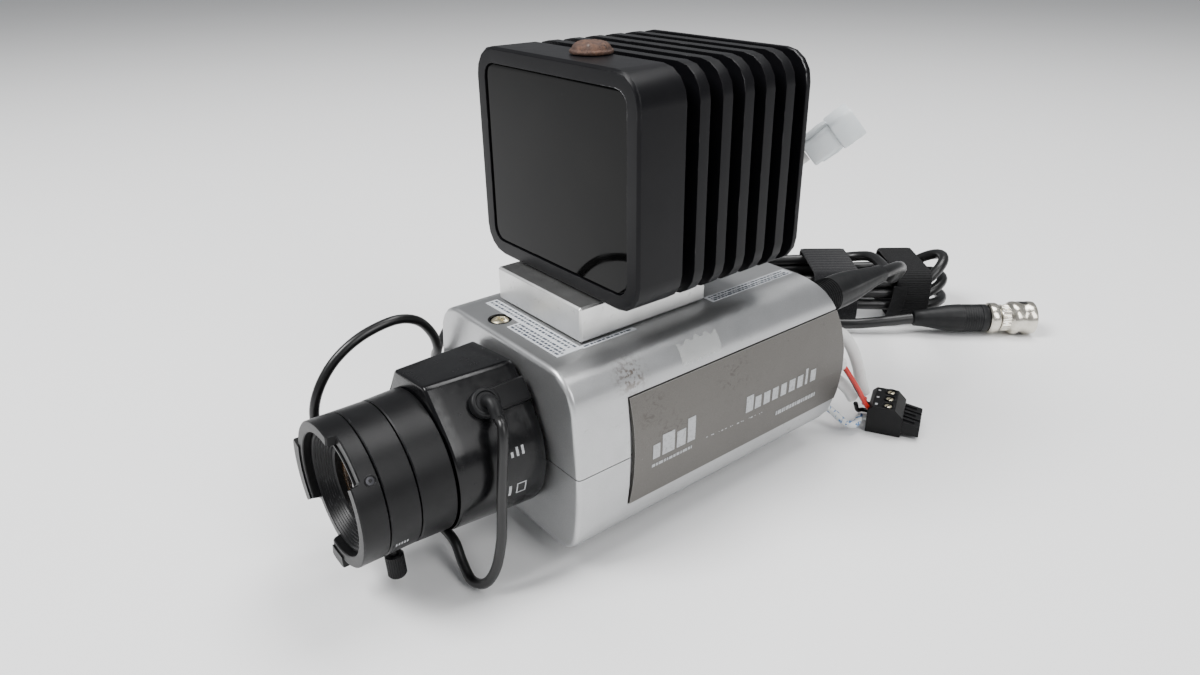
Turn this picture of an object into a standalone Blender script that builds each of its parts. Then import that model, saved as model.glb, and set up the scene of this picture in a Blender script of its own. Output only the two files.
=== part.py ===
"""A surveillance box camera with an auto-iris zoom lens and a finned infrared lamp on top, with its leads.

Frame: +Z up, the lens looks along -Y, the lead side of the lens is +X. The origin is the centre of the
tripod adapter's bottom face. Sizes are in metres, written in millimetres times MM.
"""

import math

import bmesh
import bpy
from mathutils import Matrix, Vector

MM = 0.001
GAP = 0.3 * MM  # clearance between pieces that touch or slide

# Camera housing
HOUSING_WIDTH = 70.0 * MM
HOUSING_HEIGHT = 56.2 * MM
HOUSING_FRONT = -46.0 * MM  # Y of the front face
SIDE_BOW_RADIUS = 120.0 * MM
TOP_CORNER_RADIUS = 11.0 * MM
BOTTOM_CORNER_RADIUS = 9.5 * MM
HOUSING_WALL = 2.2 * MM
FRONT_WALL = 2.5 * MM
FRONT_EDGE_FILLET = 1.4 * MM
REAR_ARC_RADIUS = 52.0 * MM
REAR_ARC_REACH = 111.0 * MM  # from the front face to the rear edge's furthest point
REAR_ARC_HEIGHT = 22.0 * MM  # that point's height over the housing's bottom
PARTING_HEIGHT = 27.0 * MM
SHELL_SPLIT = 0.3 * MM

# Side plates
PLATE_LOW = 11.0 * MM
PLATE_HIGH = 45.0 * MM
PLATE_START = 18.0 * MM
PLATE_THICKNESS = 1.0 * MM
PLATE_PROUD = 0.4 * MM
PLATE_HOLLOW = 1.0 * MM  # how far the front edge curves in

# Tripod adapter
ADAPTER_LENGTH = 44.0 * MM
ADAPTER_WIDTH = 32.0 * MM
ADAPTER_THICKNESS = 6.2 * MM
TRIPOD_HOLE_RADIUS = 3.2 * MM
TRIPOD_HOLE_Y = -8.0 * MM
INDEX_HOLE_RADIUS = 2.2 * MM
INDEX_HOLE_Y = 7.0 * MM

# Lens
LENS_X = 0.5 * MM
LENS_RAISE = 0.2 * MM  # axis over the middle of the housing's height
LENS_TILT = math.radians(5.5)
MOUNT_BORE = 12.8 * MM
MOUNT_RING_RADIUS = 17.5 * MM
CASE_REAR = 1.2 * MM  # distances along the lens count forward from the housing's front face
CASE_FRONT = 26.8 * MM
CASE_REAR_RADIUS = 22.4 * MM
CASE_FRONT_RADIUS = 20.8 * MM
CASE_TOP = 23.5 * MM
CASE_WALL = 1.8 * MM
CASE_SLOPE = math.radians(36.9)  # direction of the sloping sides' normals
CASE_CORNER = 2.5 * MM
BARREL_RADIUS = 20.1 * MM
BARREL_FRONT_STEP = 36.6 * MM
SLEEVE_RADIUS = 16.3 * MM
SLEEVE_FRONT = 50.3 * MM
MOUTH_LIP = 0.9 * MM
SPIGOT_RADIUS = 18.0 * MM
RING_RADIUS = 19.65 * MM
RING_SEAM = 45.2 * MM
RIM_FRONT = 52.3 * MM
NOTCH_DEPTH = 2.4 * MM
LUG_RADIUS = 22.2 * MM
LUG_DEPTH = 3.2 * MM
GLASS_RADIUS = 9.8 * MM
GLASS_FRONT = 46.2 * MM
GLASS_THICKNESS = 3.4 * MM
REAR_GLASS_RADIUS = 8.0 * MM
LOCK_SCREW_ANGLE = math.radians(-83.0)
LOCK_SCREW_REACH = 39.2 * MM
LOCK_HEAD_RADIUS = 2.6 * MM
LOCK_HEAD_INNER = 23.9 * MM
LOCK_HEAD_LENGTH = 6.9 * MM
LOCK_STEM_RADIUS = 1.3 * MM
BLADE_THICKNESS = 0.5 * MM
BLADE_WIDTH = 16.0 * MM
BLADE_HEIGHT = 12.0 * MM
BLADE_REACH = 17.6 * MM
ROTOR_X = 9.0 * MM  # from the lens axis
ROTOR_Z = 13.6 * MM
ROTOR_RADIUS = 3.3 * MM
GLAND_SHIFT = 4.2 * MM  # along the case's slope, from where it meets the round
GLAND_REACH = 14.0 * MM
IRIS_LEAD_RADIUS = 1.4 * MM
SOCKET_REACH = 24.0 * MM  # iris socket, from the housing's front face
SOCKET_HEIGHT = HOUSING_HEIGHT - 20.2 * MM
SOCKET_SIZE = 10.0 * MM
PLUG_SIZE = 8.4 * MM
PLUG_LENGTH = 14.0 * MM

# Inside the housing
REAR_PANEL_REACH = 93.0 * MM
REAR_PANEL_THICKNESS = 2.5 * MM
CARRIAGE_REACH = 8.0 * MM
CARRIAGE_THICKNESS = 2.0 * MM
SENSOR_SIZE = (12.0 * MM, 10.0 * MM)
FOCUS_SCREW_X = 20.0 * MM
FOCUS_SCREW_RADIUS = 1.0 * MM
MOTOR_RADIUS = 4.5 * MM
BOARD_THICKNESS = 1.6 * MM
BUTTON_RADIUS = 2.2 * MM
BUTTON_PITCH = 6.5 * MM
BUTTON_TRAVEL = 0.5 * MM
BUTTON_PROUD = BUTTON_TRAVEL + 0.8 * MM
PAD_X = -17.0 * MM
PAD_HEIGHT = HOUSING_HEIGHT / 2 + 5.9 * MM
VIDEO_X = 20.0 * MM
VIDEO_HEIGHT = HOUSING_HEIGHT - 14.5 * MM
JACK_RADIUS = 4.8 * MM
COUPLING_RADIUS = 7.2 * MM

# Mounting block and lamp
BLOCK_X = (-21.1 * MM, 19.1 * MM)
BLOCK_REACH = (13.8 * MM, 60.2 * MM)
BLOCK_HEIGHT = 10.2 * MM
BLOCK_CHAMFER = 0.6 * MM
BLOCK_BOLT_RADIUS = 3.0 * MM
BLOCK_BOLT_HEAD = 5.0 * MM
LAMP_WIDTH = 70.7 * MM
LAMP_HEIGHT = 60.7 * MM
LAMP_X = -0.5 * MM
LAMP_REACH = 20.1 * MM
LAMP_CORNER = 8.5 * MM
LAMP_FRONT_DEPTH = 15.1 * MM
FIN_COUNT = 5
FIN_PITCH = 7.85 * MM
FIN_THICKNESS = 3.5 * MM
GROOVE_WIDTH = FIN_PITCH - FIN_THICKNESS
GROOVE_DEPTH = 9.0 * MM
COVER_THICKNESS = 2.3 * MM
WINDOW_BORDER = 4.4 * MM
WINDOW_THICKNESS = 3.0 * MM
WINDOW_RECESS = 0.5 * MM
WINDOW_LEDGE = 2.0 * MM
POCKET_DEPTH = 12.6 * MM
LED_COLUMNS = 5
LED_ROWS = 4
LED_RADIUS = 2.5 * MM
LED_HEIGHT = 5.0 * MM
LAMP_BOLT_X = 3.0 * MM
LAMP_BOLT_INSET = 3.7 * MM  # from the front section's rear edge
LAMP_BOLT_RADIUS = 5.7 * MM
LAMP_BOLT_HEAD = 3.4 * MM
LAMP_BOLT_SHANK = 2.5 * MM
LAMP_BOLT_DEPTH = 4.5 * MM
LAMP_LEAD_RADIUS = 2.0 * MM

# Video lead
COAX_RADIUS = 2.3 * MM
BOOT_RADIUS = 6.0 * MM
BOOT_END_RADIUS = 3.3 * MM
HANK_LENGTH = 96.0 * MM
HANK_WIDTH = 33.0 * MM
HANK_HEIGHT = 21.8 * MM
HANK_CENTRE = (-32.5 * MM, 158.9 * MM)
HANK_ANGLE = math.atan2(0.774, 0.634)
TIE_THICKNESS = 1.5 * MM
FRONT_TIE = (26.0 * MM, 15.0 * MM)  # place along the hank, width
REAR_TIE = (-8.0 * MM, 20.0 * MM)
END_PLUG = (3.0 * MM, 161.0 * MM, 7.3 * MM)
END_BOOT_LENGTH = 32.0 * MM

# Power wiring
TERMINAL_PITCH = 5.08 * MM
TERMINAL_COUNT = 3
TERMINAL_DEPTH = 12.0 * MM
TERMINAL_HEIGHT = 10.5 * MM
TERMINAL_FINGER = 6.0 * MM
TERMINAL_CENTRE = (40.0 * MM, 88.0 * MM)
TERMINAL_ANGLE = math.atan2(0.47, 0.88)
SHEATH_RADIUS = 2.1 * MM
CORE_RADIUS = 0.8 * MM
MARKED_RADIUS = 1.3 * MM
ENTRY_STRAIGHT = 2.5 * MM  # a core's last straight run into the terminal block

# Routes of the leads, in millimetres
IRIS_ROUTE = [
    (21.4, -60.4, 51.9), (24.2, -61.0, 51.9), (25.6, -61.9, 48.0), (25.8, -62.6, 42.0),
    (25.5, -63.2, 34.0), (25.5, -63.8, 26.0), (25.5, -64.6, 18.0), (24.8, -66.4, 9.6),
    (22.4, -68.6, 4.2), (17.4, -70.0, 2.6), (12.0, -69.6, 5.2), (7.0, -69.0, 9.2),
    (0.0, -70.0, 11.2), (-8.0, -72.4, 10.8), (-16.0, -76.0, 12.6), (-23.0, -81.0, 18.0),
    (-27.4, -85.8, 26.0), (-29.0, -88.8, 34.0), (-28.8, -89.6, 41.0), (-28.4, -87.6, 48.0),
    (-28.2, -83.0, 54.5), (-28.0, -77.0, 59.0), (-28.0, -70.0, 61.6), (-28.0, -62.0, 62.4),
    (-28.4, -55.6, 59.8), (-29.4, -51.2, 54.0), (-31.0, -49.2, 48.0), (-34.6, -48.4, 43.6),
    (-40.0, -45.6, 41.6), (-46.0, -40.6, 41.4), (-52.0, -35.0, 42.0), (-56.4, -29.0, 42.4),
    (-57.2, -24.4, 42.5), (-54.6, -22.1, 42.5), (-49.2, -22.0, 42.5),
]
PIGTAIL_ROUTE = [
    (15.0, 35.95, 92.0), (15.2, 40.0, 92.6), (17.2, 44.6, 94.6), (20.0, 48.4, 98.0), (22.6, 51.3, 101.2),
]
COAX_ROUTE = [
    (20.0, 104.6, 48.2), (19.8, 110.0, 48.0), (18.2, 118.0, 46.6), (14.0, 127.0, 42.6), (7.6, 136.0, 36.2),
    (0.0, 145.2, 29.6), (-6.8, 152.8, 26.7), (-13.6, 160.2, 26.3), (-19.8, 166.6, 26.2),
]
TAIL_ROUTE = [
    (-40.3, 118.8, 4.4), (-31.0, 126.7, 4.4), (-21.3, 134.2, 4.4), (-12.9, 141.5, 4.8), (-5.7, 149.8, 5.8),
    (2.8, 160.7, 7.3),
]
SHEATH_ROUTES = [
    [(26.0, 44.0, 38.0), (26.2, 56.0, 38.4), (26.6, 66.0, 38.6), (27.4, 73.0, 36.4), (29.2, 77.4, 30.6),
     (31.0, 80.0, 23.4), (32.2, 81.8, 16.2), (33.0, 83.2, 11.6)],
    [(22.0, 44.0, 22.0), (22.4, 56.0, 22.4), (24.2, 65.0, 22.2), (27.6, 71.4, 19.6), (30.6, 75.4, 15.6),
     (32.4, 77.6, 11.4)],
]
RED_ROUTE = [(33.3, 83.8, 9.4), (32.6, 85.0, 6.6)]
BLACK_ROUTE = [(33.2, 78.5, 9.2), (33.0, 80.6, 5.6)]
MARKED_ROUTE = [
    (16.0, 44.0, 16.0), (16.6, 56.0, 15.8), (21.4, 64.6, 13.0), (28.4, 70.0, 8.0), (34.0, 71.8, 4.4),
    (36.6, 74.6, 3.8),
]

HOUSING_BASE = ADAPTER_THICKNESS + GAP
HOUSING_TOP = HOUSING_BASE + HOUSING_HEIGHT
PARTING = HOUSING_BASE + PARTING_HEIGHT
LENS_AXIS = Vector((LENS_X, HOUSING_FRONT, HOUSING_BASE + HOUSING_HEIGHT / 2 + LENS_RAISE))
BLOCK_BASE = HOUSING_TOP + GAP
LAMP_BASE = BLOCK_BASE + BLOCK_HEIGHT + GAP
LAMP_TOP = LAMP_BASE + LAMP_HEIGHT
LAMP_FRONT = HOUSING_FRONT + LAMP_REACH
LAMP_CENTRE = LAMP_BASE + LAMP_HEIGHT / 2
CORE_REAR = LAMP_FRONT + LAMP_FRONT_DEPTH + FIN_COUNT * FIN_PITCH + GROOVE_WIDTH
COVER_REAR = CORE_REAR + GAP + COVER_THICKNESS
PANEL_FRONT = HOUSING_FRONT + REAR_PANEL_REACH
PANEL_REAR = PANEL_FRONT + REAR_PANEL_THICKNESS


# ---------------------------------------------------------------- materials

def material(name, colour, roughness, metallic=0.0):
    made = bpy.data.materials.get(name) or bpy.data.materials.new(name)
    made.use_nodes = True
    shader = made.node_tree.nodes["Principled BSDF"]
    shader.inputs["Base Color"].default_value = (*colour, 1.0)
    shader.inputs["Roughness"].default_value = roughness
    shader.inputs["Metallic"].default_value = metallic
    made.diffuse_color = (*colour, 1.0)
    return made


SILVER_PAINT = material("silver_paint", (0.58, 0.59, 0.61), 0.38, 0.7)
PLATE_PAINT = material("plate_paint", (0.24, 0.23, 0.22), 0.42, 0.6)
ANODISED = material("black_anodised", (0.02, 0.02, 0.024), 0.35, 0.4)
MILLED = material("milled_aluminium", (0.75, 0.76, 0.76), 0.35, 1.0)
BLACK_PLASTIC = material("black_plastic", (0.02, 0.02, 0.022), 0.35)
BLACK_RUBBER = material("black_rubber", (0.018, 0.018, 0.02), 0.55)
DARK_GLASS = material("dark_window", (0.01, 0.01, 0.012), 0.05)
AMBER_GLASS = material("coated_glass", (0.35, 0.2, 0.08), 0.05)
BOARD_GREEN = material("circuit_board", (0.03, 0.16, 0.06), 0.5)
STEEL = material("steel", (0.55, 0.55, 0.56), 0.35, 1.0)
BRASS = material("brass", (0.72, 0.58, 0.3), 0.35, 1.0)
RUST = material("rusty_steel", (0.16, 0.08, 0.06), 0.7, 0.5)
NICKEL = material("nickel", (0.72, 0.7, 0.66), 0.25, 1.0)
NYLON = material("white_nylon", (0.82, 0.84, 0.84), 0.45)
WHITE_SHEATH = material("white_sheath", (0.72, 0.71, 0.7), 0.4)
RED_CORE = material("red_core", (0.65, 0.04, 0.03), 0.4)
BLACK_FABRIC = material("hook_and_loop", (0.015, 0.015, 0.015), 0.9)


# ---------------------------------------------------------------- modelling helpers

def finish_object(name, bm, surface):
    """Makes a node from a bmesh, with its faces pointing out and its round parts smooth."""
    bmesh.ops.recalc_face_normals(bm, faces=bm.faces)
    mesh = bpy.data.meshes.new(name)
    bm.to_mesh(mesh)
    bm.free()
    mesh.materials.append(surface)
    mesh.shade_smooth()
    mesh.set_sharp_from_angle(angle=math.radians(35))
    made = bpy.data.objects.new(name, mesh)
    bpy.context.scene.collection.objects.link(made)
    return made


def loft(name, rings, surface, closed=False):
    """A solid through rings of points, as many in each. Its ends are capped, or joined if it is closed."""
    bm = bmesh.new()
    rows = [[bm.verts.new(point) for point in ring] for ring in rings]
    pairs = list(zip(rows, rows[1:]))
    if closed:
        pairs.append((rows[-1], rows[0]))
    count = len(rows[0])
    for first, second in pairs:
        for i in range(count):
            j = (i + 1) % count
            bm.faces.new((first[i], first[j], second[j], second[i]))
    if not closed:
        bm.faces.new(rows[0])
        bm.faces.new(rows[-1])
    return finish_object(name, bm, surface)


def extrude(name, outline, start, end, surface):
    """A solid from an outline of points and two shifts of it."""
    rings = [[Vector(point) + Vector(shift) for point in outline] for shift in (start, end)]
    return loft(name, rings, surface)


def box(name, low, high, surface):
    corners = ((low[0], low[1]), (high[0], low[1]), (high[0], high[1]), (low[0], high[1]))
    outline = [(x, y, 0) for x, y in corners]
    return extrude(name, outline, (0, 0, low[2]), (0, 0, high[2]), surface)


def turn_frame(origin, direction):
    """The matrix that puts local +Z along the direction at the origin."""
    return Matrix.Translation(origin) @ Vector(direction).to_track_quat("Z", "Y").to_matrix().to_4x4()


def turned(name, profile, surface, origin, direction=(0, 0, 1), steps=32):
    """A profile of (radius, height) points, in order round its edge, turned about the direction."""
    bm = bmesh.new()
    place = turn_frame(origin, direction)
    rings = []
    for radius, height in profile:
        if radius == 0:
            rings.append([bm.verts.new(place @ Vector((0, 0, height)))])
            continue
        angles = (2 * math.pi * i / steps for i in range(steps))
        rings.append(
            [bm.verts.new(place @ Vector((radius * math.cos(a), radius * math.sin(a), height)))
             for a in angles]
        )
    for first, second in zip(rings, rings[1:] + rings[:1]):
        for i in range(steps):
            j = (i + 1) % steps
            if len(first) == 1 and len(second) == 1:
                break
            if len(first) == 1:
                bm.faces.new((first[0], second[j], second[i]))
            elif len(second) == 1:
                bm.faces.new((first[i], first[j], second[0]))
            else:
                bm.faces.new((first[i], first[j], second[j], second[i]))
    return finish_object(name, bm, surface)


def rod(name, radius, start, end, surface, steps=16):
    """A plain cylinder between two points."""
    length = (Vector(end) - Vector(start)).length
    profile = [(0, 0), (radius, 0), (radius, length), (0, length)]
    return turned(name, profile, surface, start, Vector(end) - Vector(start), steps)


def tube(name, points, radius, surface):
    """A round lead along its points."""
    curve = bpy.data.curves.new(name, "CURVE")
    curve.dimensions = "3D"
    curve.bevel_depth = radius
    curve.bevel_resolution = 2
    curve.use_fill_caps = True
    spline = curve.splines.new("POLY")
    spline.points.add(len(points) - 1)
    for slot, point in zip(spline.points, points):
        slot.co = (*point, 1.0)
    curve.materials.append(surface)
    made = bpy.data.objects.new(name, curve)
    bpy.context.scene.collection.objects.link(made)
    return made


def combine(target, tool, operation):
    """Applies a Boolean and removes its tool."""
    change = target.modifiers.new("shape", "BOOLEAN")
    change.operation = operation
    change.solver = "EXACT"
    change.object = tool
    graph = bpy.context.evaluated_depsgraph_get()
    mesh = bpy.data.meshes.new_from_object(target.evaluated_get(graph))
    target.modifiers.clear()
    target.data = mesh
    bpy.data.objects.remove(tool)
    mesh.set_sharp_from_angle(angle=math.radians(35))


def cut(target, *tools):
    for tool in tools:
        combine(target, tool, "DIFFERENCE")


def join(target, *tools):
    for tool in tools:
        combine(target, tool, "UNION")


def move_origin(made, point):
    """Puts a moving piece's origin on its joint's axis."""
    made.data.transform(Matrix.Translation(-Vector(point)))
    made.location = point


def arc(centre, radius, start, end, steps):
    """Points on an arc in a plane, from one angle to another."""
    angles = [start + (end - start) * i / steps for i in range(steps + 1)]
    return [(centre[0] + radius * math.cos(a), centre[1] + radius * math.sin(a)) for a in angles]


def rounded_rectangle(width, height, radius, steps=4):
    """A rectangle's outline with round corners, centred on zero."""
    outline = []
    x, z = width / 2 - radius, height / 2 - radius
    for quarter, (corner_x, corner_z) in enumerate(((x, z), (-x, z), (-x, -z), (x, -z))):
        start = quarter * math.pi / 2
        outline += arc((corner_x, corner_z), radius, start, start + math.pi / 2, steps)
    return outline


def smooth_route(points, spacing):
    """Points at even spacing along a smooth curve through a route's own points."""
    points = [Vector(p) for p in points]
    ends = [2 * points[0] - points[1], *points, 2 * points[-1] - points[-2]]
    fine = []
    for a, b, c, d in zip(ends, ends[1:], ends[2:], ends[3:]):
        for step in range(24):
            t = step / 24
            fine.append(
                (2 * b + (c - a) * t + (2 * a - 5 * b + 4 * c - d) * t**2
                 + (3 * b - a - 3 * c + d) * t**3) / 2
            )
    fine.append(points[-1])
    lengths = [0.0]
    for first, second in zip(fine, fine[1:]):
        lengths.append(lengths[-1] + (second - first).length)
    count = max(2, round(lengths[-1] / spacing))
    route, place = [], 0
    for i in range(count + 1):
        wanted = lengths[-1] * i / count
        while place < len(fine) - 2 and lengths[place + 1] < wanted:
            place += 1
        span = lengths[place + 1] - lengths[place]
        route.append(fine[place].lerp(fine[place + 1], (wanted - lengths[place]) / span))
    return route


def in_mm(points):
    return [Vector(point) * MM for point in points]


# ---------------------------------------------------------------- camera housing

def side_x(height, inset=0.0):
    """Half the housing's width at a height over its bottom."""
    drop = height - HOUSING_HEIGHT / 2
    return HOUSING_WIDTH / 2 - inset - drop**2 / (2 * SIDE_BOW_RADIUS)


def housing_outline(inset=0.0):
    """The housing's cross-section as (x, z), or that shape drawn in by the inset."""
    top, bottom = TOP_CORNER_RADIUS, BOTTOM_CORNER_RADIUS
    top_z, bottom_z = HOUSING_HEIGHT - top, bottom
    half = arc((side_x(bottom_z) - bottom, bottom_z), bottom - inset, -math.pi / 2, 0, 4)
    for i in range(1, 4):
        height = bottom_z + (top_z - bottom_z) * i / 4
        half.append((side_x(height, inset), height))
    half += arc((side_x(top_z) - top, top_z), top - inset, 0, math.pi / 2, 5)
    return half + [(-x, z) for x, z in reversed(half)]


def housing_ring(reach, inset):
    """The outline as points in space, at a reach behind the front face."""
    return [(x, HOUSING_FRONT + reach, HOUSING_BASE + z) for x, z in housing_outline(inset)]


def rear_arc(shrink=0.0):
    """The side view's region in front of the rear arc as (y, z), open to the front."""
    centre = (HOUSING_FRONT + REAR_ARC_REACH - REAR_ARC_RADIUS, HOUSING_BASE + REAR_ARC_HEIGHT)
    swing = math.radians(64)
    front = HOUSING_FRONT - 10 * MM
    points = arc(centre, REAR_ARC_RADIUS - shrink, -swing, swing, 14)
    low, high = centre[1] - 60 * MM, centre[1] + 60 * MM
    return [(front, low), (points[0][0], low), *points, (points[-1][0], high), (front, high)]


def build_shells():
    long_reach = REAR_ARC_REACH + 4 * MM
    fillet = FRONT_EDGE_FILLET
    rings = [housing_ring(fillet * (1 - math.cos(a)), fillet * (1 - math.sin(a))) for a in
             (0, math.radians(30), math.radians(60), math.radians(90))]
    rings += [housing_ring(long_reach, 0), housing_ring(long_reach, HOUSING_WALL)]
    rings += [housing_ring(FRONT_WALL, HOUSING_WALL)]
    housing = loft("housing", rings, SILVER_PAINT)
    side_view = [(-60 * MM, y, z) for y, z in rear_arc()]
    keep = extrude("keep", side_view, (0, 0, 0), (120 * MM, 0, 0), SILVER_PAINT)
    combine(housing, keep, "INTERSECT")
    mount_hole = rod("mount_hole", MOUNT_RING_RADIUS + GAP, LENS_AXIS + Vector((0, -5 * MM, 0)),
                     LENS_AXIS + Vector((0, FRONT_WALL + 5 * MM, 0)), SILVER_PAINT, 40)
    cut(housing, mount_hole)
    for sign in (1, -1):
        cut(housing, side_plate_solid("recess", sign, GAP, SILVER_PAINT))
    lower = housing.copy()
    lower.data = housing.data.copy()
    bpy.context.scene.collection.objects.link(lower)
    half = SHELL_SPLIT / 2
    far = 200 * MM
    cut(housing, box("below", (-far, -far, -far), (far, far, PARTING + half), SILVER_PAINT))
    cut(lower, box("above", (-far, -far, PARTING - half), (far, far, far), SILVER_PAINT))
    housing.name, lower.name = "upper_shell", "lower_shell"
    screw_at = Vector((-8.9 * MM, HOUSING_FRONT + 6.2 * MM, HOUSING_TOP))
    cut(housing, rod("screw_hole", 1.8 * MM, screw_at - Vector((0, 0, 6 * MM)), screw_at, SILVER_PAINT))
    cut(housing, rod("counterbore", 3.2 * MM, screw_at - Vector((0, 0, 1.3 * MM)),
                     screw_at + Vector((0, 0, 2 * MM)), SILVER_PAINT, 20))
    bolt = block_bolt_axis()
    cut(housing, rod("bolt_hole", BLOCK_BOLT_RADIUS + GAP, bolt - Vector((0, 0, 8 * MM)), bolt,
                     SILVER_PAINT, 20))
    socket_low = (-HOUSING_WIDTH, HOUSING_FRONT + SOCKET_REACH - SOCKET_SIZE / 2 - GAP,
                  HOUSING_BASE + SOCKET_HEIGHT - SOCKET_SIZE / 2 - GAP)
    socket_high = (-HOUSING_WIDTH / 2 + 6 * MM, HOUSING_FRONT + SOCKET_REACH + SOCKET_SIZE / 2 + GAP,
                   HOUSING_BASE + SOCKET_HEIGHT + SOCKET_SIZE / 2 + GAP)
    cut(housing, box("socket_hole", socket_low, socket_high, SILVER_PAINT))
    cut(bpy.data.objects["left_side_plate"], box("socket_hole", socket_low, socket_high, SILVER_PAINT))
    turned("top_screw", [(0, -6 * MM), (1.4 * MM, -6 * MM), (1.4 * MM, -0.9 * MM), (2.85 * MM, -0.9 * MM),
                         (2.85 * MM, 0.1 * MM), (2.3 * MM, 0.5 * MM), (0, 0.6 * MM)],
           BRASS, screw_at, steps=16)


def side_plate_solid(name, sign, clearance, surface):
    """A plate that follows the housing's side, or the larger shape that its recess takes."""
    proud, sunk = PLATE_PROUD, PLATE_THICKNESS - PLATE_PROUD
    if clearance:
        proud, sunk = 3 * MM, sunk + clearance
    low, high = PLATE_LOW - clearance, PLATE_HIGH + clearance
    rows = 6
    heights = [low + (high - low) * i / rows for i in range(rows + 1)]
    outer = [(side_x(h, -proud), h) for h in heights]
    inner = [(side_x(h, sunk), h) for h in reversed(heights)]
    outline = [(sign * x, 0, HOUSING_BASE + z) for x, z in outer + inner]
    start, end = HOUSING_FRONT + PLATE_START - clearance, HOUSING_FRONT + REAR_ARC_REACH + 3 * MM
    plate = extrude(name, outline, (0, start, 0), (0, end, 0), surface)
    if not clearance:
        view = [(sign * 20 * MM, y, z) for y, z in rear_arc(0.2 * MM)]
        keep = extrude("keep", view, (0, 0, 0), (sign * 30 * MM, 0, 0), surface)
        combine(plate, keep, "INTERSECT")
        middle = (PLATE_LOW + PLATE_HIGH) / 2
        half = (PLATE_HIGH - PLATE_LOW) / 2
        bow_radius = (half**2 + PLATE_HOLLOW**2) / (2 * PLATE_HOLLOW)
        centre = Vector((sign * 20 * MM, start + PLATE_HOLLOW - bow_radius, HOUSING_BASE + middle))
        cut(plate, rod("hollow", bow_radius, centre, centre + Vector((sign * 30 * MM, 0, 0)), surface, 320))
    return plate


def build_adapter():
    outline = [(x, y, 0) for x, y in rounded_rectangle(ADAPTER_WIDTH, ADAPTER_LENGTH, 4 * MM)]
    adapter = extrude("tripod_adapter", outline, (0, 0, 0), (0, 0, ADAPTER_THICKNESS), ANODISED)
    for radius, y in ((TRIPOD_HOLE_RADIUS, TRIPOD_HOLE_Y), (INDEX_HOLE_RADIUS, INDEX_HOLE_Y)):
        start, end = Vector((0, y, -MM)), Vector((0, y, ADAPTER_THICKNESS + MM))
        cut(adapter, rod("hole", radius, start, end, ANODISED, 20))


def build_rear_panel():
    inset = HOUSING_WALL + GAP
    rings = [housing_ring(REAR_PANEL_REACH + depth, inset) for depth in (0, REAR_PANEL_THICKNESS)]
    panel = loft("rear_panel", rings, BLACK_PLASTIC)
    holes = [(VIDEO_X, VIDEO_HEIGHT, JACK_RADIUS + 0.2 * MM)]
    holes += [(x, z, BUTTON_RADIUS + GAP) for _, x, z in button_places()]
    for route, radius in ((SHEATH_ROUTES[0], SHEATH_RADIUS), (SHEATH_ROUTES[1], SHEATH_RADIUS),
                          (MARKED_ROUTE, MARKED_RADIUS)):
        holes.append((route[0][0] * MM, route[0][2] * MM - HOUSING_BASE, radius + GAP))
    for x, z, radius in holes:
        start = Vector((x, PANEL_FRONT - MM, HOUSING_BASE + z))
        end = start + Vector((0, REAR_PANEL_THICKNESS + 2 * MM, 0))
        cut(panel, rod("hole", radius, start, end, BLACK_PLASTIC, 20))


def button_places():
    """Each button's name, x and height over the housing's bottom."""
    cross = (("set", 0, 0), ("up", 0, 1), ("down", 0, -1), ("left", -1, 0), ("right", 1, 0))
    return [("button_" + word, PAD_X + dx * BUTTON_PITCH, PAD_HEIGHT + dz * BUTTON_PITCH)
            for word, dx, dz in cross]


def build_buttons():
    """Round menu keys that stand out of the rear panel, each with a flange behind it."""
    r = BUTTON_RADIUS
    face = REAR_PANEL_THICKNESS + BUTTON_PROUD
    profile = [(0, -4 * MM), (r + 0.6 * MM, -4 * MM), (r + 0.6 * MM, -GAP), (r, -GAP), (r, face - 0.4 * MM),
               (r - 0.4 * MM, face), (0, face)]
    for name, x, z in button_places():
        place = Vector((x, PANEL_FRONT, HOUSING_BASE + z))
        button = turned(name, profile, BLACK_RUBBER, place, (0, 1, 0), 12)
        move_origin(button, place)


def build_boards():
    low = (-28 * MM, HOUSING_FRONT + 24 * MM, HOUSING_BASE + 5.5 * MM)
    board = box("main_board", low, (28 * MM, HOUSING_FRONT + 88 * MM, low[2] + BOARD_THICKNESS), BOARD_GREEN)
    top = low[2] + BOARD_THICKNESS
    chips = ((-12, 40, 14, 14, 1.4), (10, 44, 10, 10, 1.2), (-14, 66, 10, 16, 8), (12, 68, 16, 12, 6))
    for x, reach, width, length, height in chips:
        corner = (x * MM - width * MM / 2, HOUSING_FRONT + reach * MM - length * MM / 2, top - 0.4 * MM)
        far = (corner[0] + width * MM, corner[1] + length * MM, top + height * MM)
        join(board, box("chip", corner, far, BOARD_GREEN))
    socket = Vector((-side_x(SOCKET_HEIGHT), HOUSING_FRONT + SOCKET_REACH, HOUSING_BASE + SOCKET_HEIGHT))
    half = SOCKET_SIZE / 2
    body = box("iris_socket", socket + Vector((-PLATE_PROUD, -half, -half)),
               socket + Vector((9 * MM, half, half)), BLACK_PLASTIC)
    inner = PLUG_SIZE / 2 + GAP
    cut(body, box("mouth", socket + Vector((-3 * MM, -inner, -inner)),
                  socket + Vector((4 * MM, inner, inner)), BLACK_PLASTIC))


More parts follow.
